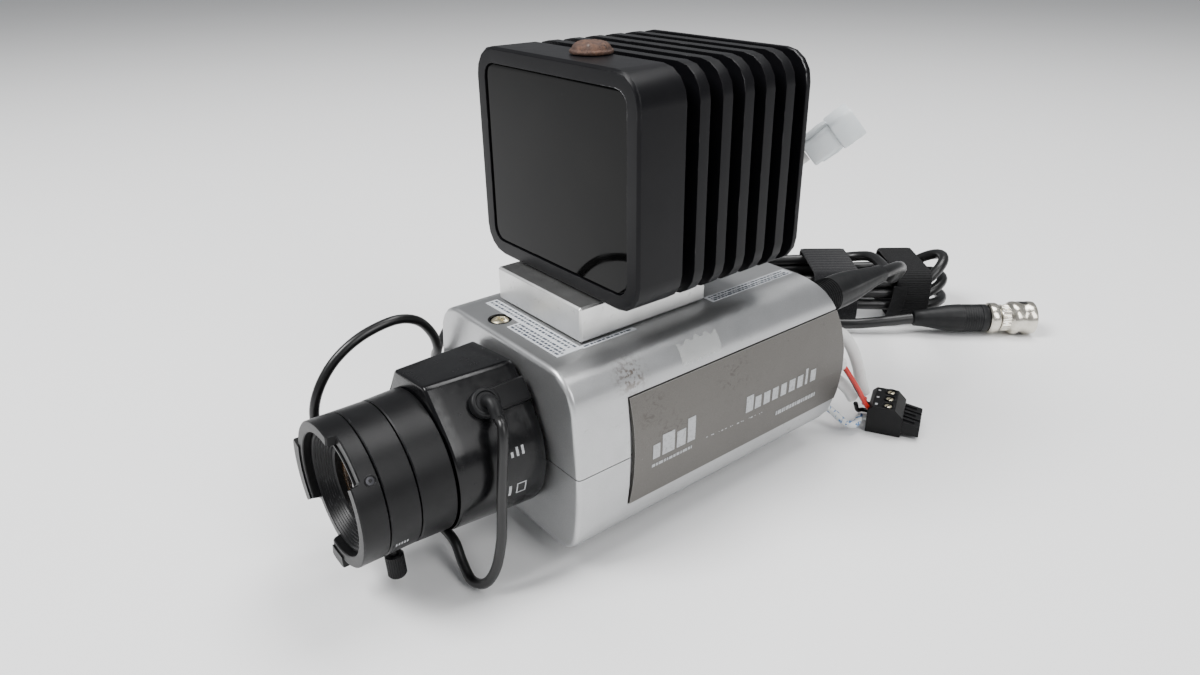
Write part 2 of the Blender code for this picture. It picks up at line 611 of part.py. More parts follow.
def build_focus_carriage():
    """The image sensor on its carriage, which a motor's screw moves along the lens axis."""
    start = HOUSING_FRONT + CARRIAGE_REACH
    centre = LENS_AXIS
    low = (centre.x - 16 * MM, start, centre.z - 14 * MM)
    high = (FOCUS_SCREW_X + 3.5 * MM, start + CARRIAGE_THICKNESS, centre.z + 14 * MM)
    carriage = box("sensor_carriage", low, high, BLACK_PLASTIC)
    half_x, half_z = SENSOR_SIZE[0] / 2, SENSOR_SIZE[1] / 2
    cut(carriage, box("window", (centre.x - half_x - GAP, start - MM, centre.z - half_z - GAP),
                      (centre.x + half_x + GAP, start + 5 * MM, centre.z + half_z + GAP), BLACK_PLASTIC))
    screw_start = Vector((FOCUS_SCREW_X, HOUSING_FRONT + 6 * MM, centre.z))
    screw_end = Vector((FOCUS_SCREW_X, HOUSING_FRONT + 22 * MM, centre.z))
    cut(carriage, rod("screw_hole", FOCUS_SCREW_RADIUS + GAP, screw_start, screw_end, BLACK_PLASTIC))
    board_start = start + CARRIAGE_THICKNESS + GAP
    board = box("sensor_board", (centre.x - 15 * MM, board_start, centre.z - 13 * MM),
                (centre.x + 15 * MM, board_start + BOARD_THICKNESS, centre.z + 13 * MM), BOARD_GREEN)
    join(board, box("sensor", (centre.x - half_x, start - 0.4 * MM, centre.z - half_z),
                    (centre.x + half_x, board_start + 0.5 * MM, centre.z + half_z), BOARD_GREEN))
    screw = rod("back_focus_screw", FOCUS_SCREW_RADIUS, screw_start, screw_end, STEEL)
    move_origin(screw, screw_start)
    motor_end = screw_end + Vector((0, 10 * MM, 0))
    rod("back_focus_motor", MOTOR_RADIUS, screw_end + Vector((0, GAP, 0)), motor_end, STEEL, 20)


def build_video_socket():
    place = Vector((VIDEO_X, PANEL_REAR, HOUSING_BASE + VIDEO_HEIGHT))
    r = JACK_RADIUS
    inner = -REAR_PANEL_THICKNESS - GAP
    profile = [(0, -9 * MM), (6.5 * MM, -9 * MM), (6.5 * MM, inner), (r, inner), (r, 10.5 * MM),
               (3.6 * MM, 10.5 * MM), (3.6 * MM, 3 * MM), (0, 3 * MM)]
    turned("video_socket", profile, NICKEL, place, (0, 1, 0), 24)
    nut = [(r + GAP, 1.5 * MM), (COUPLING_RADIUS, 1.5 * MM), (COUPLING_RADIUS, 13 * MM), (3.3 * MM, 13 * MM),
           (3.3 * MM, 11 * MM), (r + GAP, 11 * MM)]
    coupling = turned("camera_plug_nut", nut, NICKEL, place, (0, 1, 0), 24)
    move_origin(coupling, place)


# ---------------------------------------------------------------- lens

def lens_point(x, reach, z):
    """A point in the lens's own tilted frame: across, forward of the housing's front face, and up."""
    cos, sin = math.cos(LENS_TILT), math.sin(LENS_TILT)
    return LENS_AXIS + Vector((x * cos - z * sin, -reach, x * sin + z * cos))


def lens_turned(name, profile, surface, steps=48):
    """A piece turned about the lens axis, from (radius, reach forward) points."""
    return turned(name, profile, surface, LENS_AXIS, (0, -1, 0), steps)


def case_outline(radius, inset=0.0):
    """The lens case's cross-section: a round bottom, sloping sides and a flat top."""
    slope = CASE_SLOPE
    normal = (math.cos(slope), math.sin(slope))
    fillet = CASE_CORNER - inset / 2
    reach_side, reach_top = radius - inset - fillet, CASE_TOP - inset - fillet
    corner_x = (reach_side - reach_top * normal[1]) / normal[0]
    half = arc((corner_x, reach_top), fillet, math.pi / 2, slope, 3)
    half += arc((0, 0), radius - inset, slope, -math.pi / 2, 12)
    return half + [(-x, z) for x, z in reversed(half[:-1])]


def case_ring(reach, radius, inset=0.0):
    return [lens_point(x, reach, z) for x, z in case_outline(radius, inset)]


def build_lens_case():
    inner_rear = CASE_REAR + 2 * MM
    cavity = loft("cavity", [case_ring(inner_rear, CASE_REAR_RADIUS, CASE_WALL),
                             case_ring(CASE_FRONT - 2 * MM, CASE_FRONT_RADIUS, CASE_WALL)], BLACK_PLASTIC)
    rings = [case_ring(CASE_REAR, CASE_REAR_RADIUS), case_ring(CASE_FRONT, CASE_FRONT_RADIUS)]
    case = loft("lens_case", rings, BLACK_PLASTIC)
    cut(case, cavity)
    front_hole = rod("front_hole", SPIGOT_RADIUS + GAP, lens_point(0, CASE_FRONT - 6 * MM, 0),
                     lens_point(0, CASE_FRONT + 6 * MM, 0), BLACK_PLASTIC, 40)
    rear_hole = rod("rear_hole", MOUNT_BORE + 0.5 * MM, lens_point(0, -5 * MM, 0),
                    lens_point(0, 6 * MM, 0), BLACK_PLASTIC, 40)
    cut(case, front_hole, rear_hole)


def build_mount():
    r = MOUNT_RING_RADIUS
    ring = [(MOUNT_BORE, 0), (r, 0), (r, -FRONT_WALL - GAP), (r + 1.5 * MM, -FRONT_WALL - GAP),
            (r + 1.5 * MM, -FRONT_WALL - 2 * MM), (MOUNT_BORE, -FRONT_WALL - 2 * MM)]
    lens_turned("lens_mount_ring", ring, STEEL)
    bore = REAR_GLASS_RADIUS + GAP
    thread, collar = MOUNT_BORE - GAP, MOUNT_BORE + 0.2 * MM
    flange = [(bore, -FRONT_WALL - 2 * MM), (thread, -FRONT_WALL - 2 * MM), (thread, GAP), (collar, GAP),
              (collar, CASE_REAR + 2.8 * MM), (bore + 1.2 * MM, CASE_REAR + 2.8 * MM),
              (bore + 1.2 * MM, 12 * MM), (bore, 12 * MM)]
    lens_turned("lens_flange", flange, STEEL)
    r = REAR_GLASS_RADIUS
    lens_turned("rear_lens", [(0, 8 * MM), (r, 8.5 * MM), (r, 11 * MM), (0, 11.8 * MM)], AMBER_GLASS, 32)


def build_barrel():
    cone_rear = GLASS_FRONT + 0.2 * MM
    seat = GLASS_RADIUS + GAP
    glass_back = GLASS_FRONT - GLASS_THICKNESS - GAP
    profile = [(8.5 * MM, 19 * MM), (SPIGOT_RADIUS, 19 * MM), (SPIGOT_RADIUS, CASE_FRONT + GAP),
               (BARREL_RADIUS, CASE_FRONT + GAP), (RING_RADIUS + 0.05 * MM, BARREL_FRONT_STEP),
               (SLEEVE_RADIUS, BARREL_FRONT_STEP), (SLEEVE_RADIUS, SLEEVE_FRONT),
               (SLEEVE_RADIUS - MOUTH_LIP, SLEEVE_FRONT), (seat, cone_rear), (seat, glass_back),
               (8.5 * MM, glass_back)]
    lens_turned("lens_barrel", profile, BLACK_PLASTIC)
    r = GLASS_RADIUS
    front = [(0, GLASS_FRONT - GLASS_THICKNESS), (r, GLASS_FRONT - GLASS_THICKNESS),
             (r, GLASS_FRONT - 1.9 * MM), (r * 0.75, GLASS_FRONT - 0.85 * MM),
             (r * 0.4, GLASS_FRONT - 0.2 * MM), (0, GLASS_FRONT)]
    lens_turned("front_lens", front, AMBER_GLASS, 40)


def ring_sector(name, inner, outer, start, end, back, front, surface):
    """A block that fills part of a turn about the lens axis, between angles in degrees."""
    steps = max(2, round((end - start) / 8))
    start, end = math.radians(start), math.radians(end)
    outline = arc((0, 0), outer, start, end, steps) + arc((0, 0), inner, end, start, steps)
    rings = [[LENS_AXIS + Vector((x, -reach, z)) for x, z in outline] for reach in (back, front)]
    return loft(name, rings, surface)


def build_rings():
    inner = SLEEVE_RADIUS + GAP
    zoom = [(inner, BARREL_FRONT_STEP + GAP), (RING_RADIUS, BARREL_FRONT_STEP + GAP),
            (RING_RADIUS, RING_SEAM - GAP / 2), (inner, RING_SEAM - GAP / 2)]
    zoom_ring = lens_turned("zoom_ring", zoom, BLACK_PLASTIC)
    focus = [(inner, RING_SEAM + GAP / 2), (RING_RADIUS, RING_SEAM + GAP / 2), (RING_RADIUS, RIM_FRONT),
             (inner, RIM_FRONT)]
    focus_ring = lens_turned("focus_ring", focus, BLACK_PLASTIC)
    for start in (34, 214):
        cut(focus_ring, ring_sector("notch", inner - MM, LUG_RADIUS + MM, start, start + 42,
                                    RIM_FRONT - NOTCH_DEPTH, RIM_FRONT + MM, BLACK_PLASTIC))
    for start, end in ((163, 213), (258, 276)):
        join(focus_ring, ring_sector("lug", RING_RADIUS - MM, LUG_RADIUS, start, end,
                                     RIM_FRONT + 0.4 * MM - LUG_DEPTH, RIM_FRONT + 0.4 * MM, BLACK_PLASTIC))
    move_origin(focus_ring, LENS_AXIS)
    out = Vector((math.cos(LOCK_SCREW_ANGLE), 0, math.sin(LOCK_SCREW_ANGLE)))
    centre = LENS_AXIS + Vector((0, -LOCK_SCREW_REACH, 0))
    cut(zoom_ring, rod("lock_hole", LOCK_STEM_RADIUS + GAP, centre + out * (inner - 2 * MM),
                       centre + out * (RING_RADIUS + 2 * MM), BLACK_PLASTIC, 12))
    move_origin(zoom_ring, LENS_AXIS)
    head, length = LOCK_HEAD_INNER, LOCK_HEAD_LENGTH
    profile = [(0, inner + 0.4 * MM), (LOCK_STEM_RADIUS, inner + 0.4 * MM), (LOCK_STEM_RADIUS, head),
               (LOCK_HEAD_RADIUS, head), (LOCK_HEAD_RADIUS, head + length - 0.4 * MM),
               (LOCK_HEAD_RADIUS - 0.4 * MM, head + length), (0, head + length)]
    screw = turned("zoom_lock_screw", profile, BLACK_PLASTIC, centre, out, 16)
    move_origin(screw, centre)


def build_iris():
    """Two blades that slide apart, and the rotor whose arm moves them."""
    blades = (("iris_blade_upper", 1, BLADE_REACH), ("iris_blade_lower", -1, BLADE_REACH - 1.4 * MM))
    for name, sign, reach in blades:
        half = BLADE_WIDTH / 2
        inner, outer = sign * 2.2 * MM, sign * (2.2 * MM + BLADE_HEIGHT)
        notch = sign * 5 * MM
        outline = [(-half, inner), (-3 * MM, inner), (0, notch), (3 * MM, inner), (half, inner),
                   (half, outer), (-half, outer)]
        rings = [[lens_point(x, reach + depth, z) for x, z in outline] for depth in (0, BLADE_THICKNESS)]
        loft(name, rings, STEEL)
    centre = lens_point(ROTOR_X, 0, ROTOR_Z)
    profile = [(0, 6 * MM), (ROTOR_RADIUS, 6 * MM), (ROTOR_RADIUS, 13.6 * MM), (0, 13.6 * MM)]
    rotor = turned("iris_rotor", profile, STEEL, centre, (0, -1, 0), 20)
    arm = [(-7.5 * MM, -1.2 * MM), (1 * MM, -1.2 * MM), (1 * MM, 1.2 * MM), (-7.5 * MM, 1.2 * MM)]
    rings = [[lens_point(ROTOR_X + x, reach, ROTOR_Z + z) for x, z in arm] for reach in (13 * MM, 14.4 * MM)]
    join(rotor, loft("arm", rings, STEEL))
    move_origin(rotor, centre)


def gland_frame():
    """Where the iris lead's gland stands on the lens case, and its direction."""
    share = (GLAND_REACH - CASE_REAR) / (CASE_FRONT - CASE_REAR)
    radius = CASE_REAR_RADIUS + (CASE_FRONT_RADIUS - CASE_REAR_RADIUS) * share
    along = CASE_SLOPE
    foot = lens_point(radius * math.cos(along) - GLAND_SHIFT * math.sin(along), GLAND_REACH,
                      radius * math.sin(along) + GLAND_SHIFT * math.cos(along))
    lean = math.atan2(CASE_REAR_RADIUS - CASE_FRONT_RADIUS, CASE_FRONT - CASE_REAR)
    flat = lens_point(math.cos(along), 0, math.sin(along)) - LENS_AXIS
    direction = flat * math.cos(lean) + Vector((0, -math.sin(lean), 0))
    return foot, direction


def build_iris_lead():
    foot, direction = gland_frame()
    profile = [(0, GAP), (3.9 * MM, GAP), (3.9 * MM, 3.0 * MM), (3.0 * MM, 3.6 * MM), (2.3 * MM, 6.0 * MM),
               (0, 6.0 * MM)]
    turned("iris_gland", profile, BLACK_RUBBER, foot, direction, 20)
    tube("iris_cable", smooth_route(in_mm(IRIS_ROUTE), 5 * MM), IRIS_LEAD_RADIUS, BLACK_RUBBER)
    half = PLUG_SIZE / 2
    mouth = Vector((-side_x(SOCKET_HEIGHT), HOUSING_FRONT + SOCKET_REACH, HOUSING_BASE + SOCKET_HEIGHT))
    inner_end = mouth + Vector((3.7 * MM, 0, 0))
    box("iris_plug", inner_end - Vector((PLUG_LENGTH + 3.7 * MM, half, half)),
        inner_end + Vector((0, half, half)), BLACK_PLASTIC)


# ---------------------------------------------------------------- block and lamp

def block_bolt_axis():
    """The point on the housing's top where the block's bolt enters."""
    return Vector((sum(BLOCK_X) / 2, HOUSING_FRONT + sum(BLOCK_REACH) / 2, HOUSING_TOP))


def build_block():
    low = (BLOCK_X[0], HOUSING_FRONT + BLOCK_REACH[0], BLOCK_BASE)
    high = (BLOCK_X[1], HOUSING_FRONT + BLOCK_REACH[1], BLOCK_BASE + BLOCK_HEIGHT)
    block = box("mounting_block", low, high, MILLED)
    bevel = block.modifiers.new("chamfer", "BEVEL")
    bevel.width = BLOCK_CHAMFER
    bevel.segments = 1
    axis = block_bolt_axis()
    head_depth = 5 * MM
    shelf = BLOCK_HEIGHT - head_depth
    cut(block, rod("bore", BLOCK_BOLT_RADIUS + GAP, axis - Vector((0, 0, MM)), axis + Vector((0, 0, 20 * MM)),
                   MILLED, 20),
        rod("counterbore", BLOCK_BOLT_HEAD + GAP, axis + Vector((0, 0, shelf)),
            axis + Vector((0, 0, 20 * MM)), MILLED, 20))
    head_base = BLOCK_BASE - axis.z + shelf
    profile = [(0, -7 * MM), (BLOCK_BOLT_RADIUS, -7 * MM), (BLOCK_BOLT_RADIUS, head_base),
               (BLOCK_BOLT_HEAD, head_base), (BLOCK_BOLT_HEAD, head_base + 4 * MM), (0, head_base + 4 * MM)]
    turned("block_bolt", profile, STEEL, axis, steps=20)


def lamp_ring(y, inset, radius=None):
    """The lamp's outline at a place along Y, drawn in by an inset."""
    corner = max(LAMP_CORNER - inset, 2 * MM) if radius is None else radius
    outline = rounded_rectangle(LAMP_WIDTH - 2 * inset, LAMP_HEIGHT - 2 * inset, corner)
    return [(LAMP_X + x, y, LAMP_CENTRE + z) for x, z in outline]


def build_lamp():
    pocket_floor = LAMP_FRONT + POCKET_DEPTH
    seat = LAMP_FRONT + WINDOW_RECESS + WINDOW_THICKNESS + GAP
    narrow = WINDOW_BORDER + WINDOW_LEDGE
    rings = [lamp_ring(pocket_floor, narrow), lamp_ring(seat, narrow), lamp_ring(seat, WINDOW_BORDER),
             lamp_ring(LAMP_FRONT, WINDOW_BORDER), lamp_ring(LAMP_FRONT, 0.7 * MM),
             lamp_ring(LAMP_FRONT + 0.7 * MM, 0)]
    y = LAMP_FRONT + LAMP_FRONT_DEPTH
    rings += [lamp_ring(y, 0), lamp_ring(y, GROOVE_DEPTH)]
    for _ in range(FIN_COUNT):
        y += GROOVE_WIDTH
        rings += [lamp_ring(y, GROOVE_DEPTH), lamp_ring(y, 0)]
        y += FIN_THICKNESS
        rings += [lamp_ring(y, 0), lamp_ring(y, GROOVE_DEPTH)]
    rings.append(lamp_ring(CORE_REAR, GROOVE_DEPTH))
    body = loft("lamp_body", rings, ANODISED)
    bolt = Vector((LAMP_BOLT_X, LAMP_FRONT + LAMP_FRONT_DEPTH - LAMP_BOLT_INSET, LAMP_TOP))
    shank = LAMP_BOLT_SHANK
    depth = LAMP_BOLT_DEPTH
    hole_end = bolt - Vector((0, 0, depth + GAP))
    cut(body, rod("bolt_hole", shank + GAP, hole_end, bolt + Vector((0, 0, MM)), ANODISED, 16))
    r, h = LAMP_BOLT_RADIUS, LAMP_BOLT_HEAD
    profile = [(0, -depth), (shank, -depth), (shank, GAP), (r * 0.97, GAP), (r, h * 0.35),
               (r * 0.88, h * 0.68), (r * 0.6, h * 0.92), (0, h)]
    turned("lamp_bolt", profile, RUST, bolt, steps=20)
    pane = LAMP_FRONT + WINDOW_RECESS
    rings = [lamp_ring(y, WINDOW_BORDER + GAP) for y in (pane, pane + WINDOW_THICKNESS)]
    loft("lamp_window", rings, DARK_GLASS)
    cover = [lamp_ring(CORE_REAR + GAP, 0), lamp_ring(COVER_REAR - 0.7 * MM, 0),
             lamp_ring(COVER_REAR, 0.7 * MM)]
    loft("lamp_rear_cover", cover, ANODISED)
    build_lamp_board(pocket_floor - GAP, narrow + GAP)
    tube("lamp_pigtail", smooth_route(in_mm(PIGTAIL_ROUTE), 4 * MM), LAMP_LEAD_RADIUS, WHITE_SHEATH)
    build_lamp_connector()


def build_lamp_board(rear, inset):
    """The board of infrared emitters behind the lamp's window."""
    rings = [lamp_ring(rear - BOARD_THICKNESS, inset), lamp_ring(rear, inset)]
    board = loft("lamp_board", rings, BOARD_GREEN)
    pitch_x = (LAMP_WIDTH - 2 * inset) / LED_COLUMNS
    pitch_z = (LAMP_HEIGHT - 2 * inset) / LED_ROWS
    base = rear - BOARD_THICKNESS + 0.4 * MM
    profile = [(0, 0), (LED_RADIUS, 0), (LED_RADIUS, LED_HEIGHT * 0.6), (LED_RADIUS * 0.6, LED_HEIGHT * 0.95),
               (0, LED_HEIGHT)]
    for column in range(LED_COLUMNS):
        for row in range(LED_ROWS):
            x = LAMP_X + (column - (LED_COLUMNS - 1) / 2) * pitch_x
            z = LAMP_CENTRE + (row - (LED_ROWS - 1) / 2) * pitch_z
            join(board, turned("emitter", profile, BOARD_GREEN, (x, base, z), (0, -1, 0), 8))


def build_lamp_connector():
    """The white nylon plug on the lamp's pigtail."""
    end, before = in_mm(PIGTAIL_ROUTE[-1:])[0], in_mm(PIGTAIL_ROUTE[-2:-1])[0]
    direction = (end - before).normalized()
    place = turn_frame(end + direction * GAP, direction)
    rings = []
    for height, width, depth in ((0, 8.5, 7.5), (9.5, 8.5, 7.5), (9.5, 10.5, 9), (17, 10.5, 9)):
        outline = rounded_rectangle(width * MM, depth * MM, 1.2 * MM, 2)
        rings.append([place @ Vector((x, y, height * MM)) for x, y in outline])
    loft("lamp_connector", rings, NYLON)


# ---------------------------------------------------------------- video lead

def hank_point(along, across, z):
    cos, sin = math.cos(HANK_ANGLE), math.sin(HANK_ANGLE)
    x = HANK_CENTRE[0] + along * cos + across * sin
    y = HANK_CENTRE[1] + along * sin - across * cos
    return Vector((x, y, z))


def build_hank():
    base = TIE_THICKNESS + GAP
    outline = rounded_rectangle(HANK_LENGTH, HANK_WIDTH, HANK_WIDTH / 2 - 0.2 * MM, 8)
    rings = [[hank_point(x, y, z) for x, y in outline] for z in (base, base + HANK_HEIGHT)]
    loft("coax_hank", rings, BLACK_RUBBER)
    inner_width, inner_height = HANK_WIDTH + 2 * GAP, HANK_HEIGHT + 2 * GAP
    centre = base + HANK_HEIGHT / 2
    for name, (along, width) in (("tie_strap_front", FRONT_TIE), ("tie_strap_rear", REAR_TIE)):
        inner = rounded_rectangle(inner_width, inner_height, GAP, 3)
        outer = rounded_rectangle(inner_width + 2 * TIE_THICKNESS, inner_height + 2 * TIE_THICKNESS,
                                  3 * MM, 3)
        sections = ((inner, -width / 2), (outer, -width / 2), (outer, width / 2), (inner, width / 2))
        rings = [[hank_point(along + shift, x, centre + z) for x, z in outline]
                 for outline, shift in sections]
        loft(name, rings, BLACK_FABRIC, closed=True)


def build_video_lead():
    build_hank()
    r, tip = BOOT_RADIUS, BOOT_END_RADIUS
    nut_rear = Vector((VIDEO_X, PANEL_REAR + 13 * MM + GAP, HOUSING_BASE + VIDEO_HEIGHT))
    boot_end = in_mm(COAX_ROUTE[:1])[0] - Vector((0, GAP, 0))
    length = boot_end.y - nut_rear.y
    profile = [(0, 0), (r - 0.4 * MM, 0), (r, MM), (r, length * 0.4), (tip, length), (0, length)]
    turned("camera_plug_boot", profile, BLACK_RUBBER, nut_rear, (0, 1, 0), 20)
    tube("coax_lead", smooth_route(in_mm(COAX_ROUTE), 6 * MM), COAX_RADIUS, BLACK_RUBBER)
    tube("coax_tail", smooth_route(in_mm(TAIL_ROUTE), 6 * MM), COAX_RADIUS, BLACK_RUBBER)
    along = hank_point(1, 0, 0) - hank_point(0, 0, 0)
    start = Vector(END_PLUG)
    length = END_BOOT_LENGTH
    boot = [(0, 0), (tip, 0), (r, length * 0.75), (r, length - MM), (r - 0.4 * MM, length), (0, length)]
    turned("end_plug_boot", boot, BLACK_RUBBER, start, along, 20)
    metal = length + GAP
    collar = metal + 4.5 * MM
    body = [(0, metal), (6.6 * MM, metal), (6.6 * MM, collar), (3.6 * MM, collar),
            (3.6 * MM, metal + 17 * MM), (0, metal + 17 * MM)]
    turned("end_plug_body", body, NICKEL, start, along, 24)
    nut_start = collar + GAP
    r = COUPLING_RADIUS
    nut = [(3.9 * MM, nut_start), (r - MM, nut_start), (r - MM, nut_start + 4 * MM), (r, nut_start + 5 * MM),
           (r, nut_start + 14.5 * MM), (r - 0.9 * MM, nut_start + 15 * MM), (5.1 * MM, nut_start + 15 * MM),
           (5.1 * MM, nut_start + 4 * MM), (3.9 * MM, nut_start + 4 * MM)]
    coupling = turned("end_plug_nut", nut, NICKEL, start, along, 24)
    move_origin(coupling, start)


# ---------------------------------------------------------------- power wiring

def terminal_point(along, across, z):
    cos, sin = math.cos(TERMINAL_ANGLE), math.sin(TERMINAL_ANGLE)
    x = TERMINAL_CENTRE[0] + along * cos + across * sin
    y = TERMINAL_CENTRE[1] + along * sin - across * cos
    return Vector((x, y, z))


def terminal_prism(name, outline, low, high):
    """A solid from a side view of (along, z) points, as wide as two places across."""
    rings = [[terminal_point(along, across, z) for along, z in outline] for across in (low, high)]
    return loft(name, rings, BLACK_PLASTIC)


def build_terminal_block():
    half_row = TERMINAL_PITCH * TERMINAL_COUNT / 2
    front = TERMINAL_DEPTH / 2
    top = TERMINAL_HEIGHT
    body = [(-front, 0), (front, 0), (front, top * 0.72), (front - 3 * MM, top), (-front + 1.5 * MM, top),
            (-front, top * 0.85)]
    block = terminal_prism("terminal_block", body, -half_row, half_row)
    for i in range(TERMINAL_COUNT):
        centre = (i - (TERMINAL_COUNT - 1) / 2) * TERMINAL_PITCH
        finger = [(front - MM, 1.2 * MM), (front + TERMINAL_FINGER, 1.2 * MM),
                  (front + TERMINAL_FINGER, top * 0.5), (front - MM, top * 0.62)]
        join(block, terminal_prism("finger", finger, centre - 2 * MM, centre + 2 * MM))


def terminal_entry(place, away=GAP):
    """Where a core meets the terminal block, at one of its places from -1 to 1."""
    return terminal_point(-TERMINAL_DEPTH / 2 - away, place * TERMINAL_PITCH, TERMINAL_HEIGHT * 0.4)


def build_wiring():
    build_terminal_block()
    for name, route in zip(("white_cable_upper", "white_cable_lower"), SHEATH_ROUTES):
        tube(name, smooth_route(in_mm(route), 5 * MM), SHEATH_RADIUS, WHITE_SHEATH)
    cores = (("red_wire", RED_ROUTE, CORE_RADIUS, RED_CORE, -1),
             ("black_wire", BLACK_ROUTE, CORE_RADIUS, BLACK_RUBBER, 0),
             ("marked_wire", MARKED_ROUTE, MARKED_RADIUS, WHITE_SHEATH, 1))
    for name, route, radius, surface, place in cores:
        points = smooth_route(in_mm(route) + [terminal_entry(place, ENTRY_STRAIGHT)], 3 * MM)
        tube(name, points + [terminal_entry(place)], radius, surface)


def build_camera():
    side_plate_solid("right_side_plate", 1, 0, PLATE_PAINT)
    side_plate_solid("left_side_plate", -1, 0, PLATE_PAINT)
    build_shells()
    build_adapter()
    build_rear_panel()
    build_buttons()
    build_boards()
    build_focus_carriage()
    build_video_socket()


def build_lens():
    build_mount()
    build_lens_case()
    build_barrel()
    build_rings()
    build_iris()
    build_iris_lead()


def main():
    for existing in list(bpy.data.objects):
        bpy.data.objects.remove(existing)
    build_camera()
    build_lens()
    build_block()
    build_lamp()
    build_video_lead()
    build_wiring()


main()
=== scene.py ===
"""The looks of a surveillance box camera with an infrared lamp on top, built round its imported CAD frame.

Every length is in metres, written as millimetres times MM where that reads better.
"""

import math

import bmesh
import bpy
from mathutils import Matrix, Vector, noise


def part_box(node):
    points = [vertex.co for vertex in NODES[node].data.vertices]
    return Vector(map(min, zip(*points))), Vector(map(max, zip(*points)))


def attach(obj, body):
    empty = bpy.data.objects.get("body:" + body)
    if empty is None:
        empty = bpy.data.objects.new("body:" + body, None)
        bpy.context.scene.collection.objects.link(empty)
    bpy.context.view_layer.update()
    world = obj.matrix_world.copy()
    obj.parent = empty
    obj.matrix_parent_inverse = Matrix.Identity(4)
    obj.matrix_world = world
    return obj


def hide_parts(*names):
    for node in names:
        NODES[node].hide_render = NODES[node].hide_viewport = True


MM = 0.001
GAP = 0.3 * MM
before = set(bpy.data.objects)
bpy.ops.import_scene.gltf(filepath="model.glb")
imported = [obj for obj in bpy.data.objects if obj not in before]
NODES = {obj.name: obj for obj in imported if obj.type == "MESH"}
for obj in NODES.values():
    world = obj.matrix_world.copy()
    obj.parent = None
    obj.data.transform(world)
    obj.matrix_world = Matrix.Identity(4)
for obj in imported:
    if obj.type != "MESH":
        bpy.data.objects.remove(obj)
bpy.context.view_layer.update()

# The camera's frame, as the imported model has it
HOUSING_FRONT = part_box("upper_shell")[0].y
HOUSING_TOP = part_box("upper_shell")[1].z
HOUSING_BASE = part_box("lower_shell")[0].z
HOUSING_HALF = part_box("upper_shell")[1].x
LENS_TILT = math.radians(5.5)
LENS_AXIS = Vector((0.5 * MM, HOUSING_FRONT, 34.8 * MM))
LAMP_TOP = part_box("lamp_body")[1].z
LAMP_COVER_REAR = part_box("lamp_rear_cover")[1].y
PANEL_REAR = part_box("rear_panel")[1].y

# The view
EYE = Vector((181.06, -152.82, 164.06)) * MM
EYE_RIGHT = Vector((0.63356, 0.77367, -0.00631))
EYE_AHEAD = Vector((-0.70163, 0.57109, -0.42611))
FOCAL_LENGTH = 25.41
SENSOR = 36.0
SHIFT = (-0.0112, -0.0117)

# The lens, in millimetres in its own frame. A reach is how far forward of the housing something is
CASE_REAR, CASE_FRONT = 1.2, 26.8
CASE_REAR_RADIUS, CASE_FRONT_RADIUS = 22.4, 20.8
CASE_SLOPE = math.radians(36.9)
CASE_TOP = 23.5
CASE_FILLET = 2.5
CASE_WALL = 1.8
CASE_EDGE = 0.9
SPIGOT_RADIUS = 18.0
MOUNT_RADIUS = 13.4
BARREL_STEP = 36.6
SLEEVE_RADIUS, SLEEVE_FRONT = 16.3, 50.3
RING_RADIUS = 19.65
RING_SEAM = 45.2
RIM_FRONT = 52.3
NOTCHES, NOTCH_TURN, NOTCH_DEPTH = (34, 214), 42, 2.4
LUGS, LUG_RADIUS = ((163, 213), (258, 276)), 22.2
GLASS_RADIUS, GLASS_BACK, GLASS_FRONT = 9.8, 42.8, 46.2
LOCK_ANGLE, LOCK_REACH = math.radians(-83.0), 39.2
GRUB_ANGLE, GRUB_REACH = math.radians(34.0), 47.4
GLAND_REACH, GLAND_SHIFT = 14.0, 4.2

# How far prints and labels stand off the surface under them, in millimetres
PRINT = (0.0, 0.06)
FINE_PRINT = (0.0, 0.05)
RING_PRINT = (0.0, 0.04)
SCRATCH = (0.0, 0.03)
LABEL = (0.0, 0.1)
LABEL_PRINT = (0.1, 0.125)

# The leads' routes, in millimetres, as the CAD has them
IRIS_ROUTE = [
    (21.4, -60.4, 51.9), (24.2, -61.0, 51.9), (25.6, -61.9, 48.0), (25.8, -62.6, 42.0),
    (25.5, -63.2, 34.0), (25.5, -63.8, 26.0), (25.5, -64.6, 18.0), (24.8, -66.4, 9.6),
    (22.4, -68.6, 4.2), (17.4, -70.0, 2.6), (12.0, -69.6, 5.2), (7.0, -69.0, 9.2),
    (0.0, -70.0, 11.2), (-8.0, -72.4, 10.8), (-16.0, -76.0, 12.6), (-23.0, -81.0, 18.0),
    (-27.4, -85.8, 26.0), (-29.0, -88.8, 34.0), (-28.8, -89.6, 41.0), (-28.4, -87.6, 48.0),
    (-28.2, -83.0, 54.5), (-28.0, -77.0, 59.0), (-28.0, -70.0, 61.6), (-28.0, -62.0, 62.4),
    (-28.4, -55.6, 59.8), (-29.4, -51.2, 54.0), (-31.0, -49.2, 48.0), (-34.6, -48.4, 43.6),
    (-40.0, -45.6, 41.6), (-46.0, -40.6, 41.4), (-52.0, -35.0, 42.0), (-56.4, -29.0, 42.4),
    (-57.2, -24.4, 42.5), (-54.6, -22.1, 42.5), (-49.2, -22.0, 42.5),
]
PIGTAIL_ROUTE = [
    (15.0, 35.95, 92.0), (15.2, 40.0, 92.6), (17.2, 44.6, 94.6), (20.0, 48.4, 98.0), (22.6, 51.3, 101.2),
]
COAX_ROUTE = [
    (20.0, 104.6, 48.2), (19.8, 110.0, 48.0), (18.2, 118.0, 46.6), (14.0, 127.0, 42.6), (7.6, 136.0, 36.2),
    (0.0, 145.2, 29.6), (-6.8, 152.8, 26.7), (-13.6, 160.2, 26.3), (-19.8, 166.6, 26.2),
]
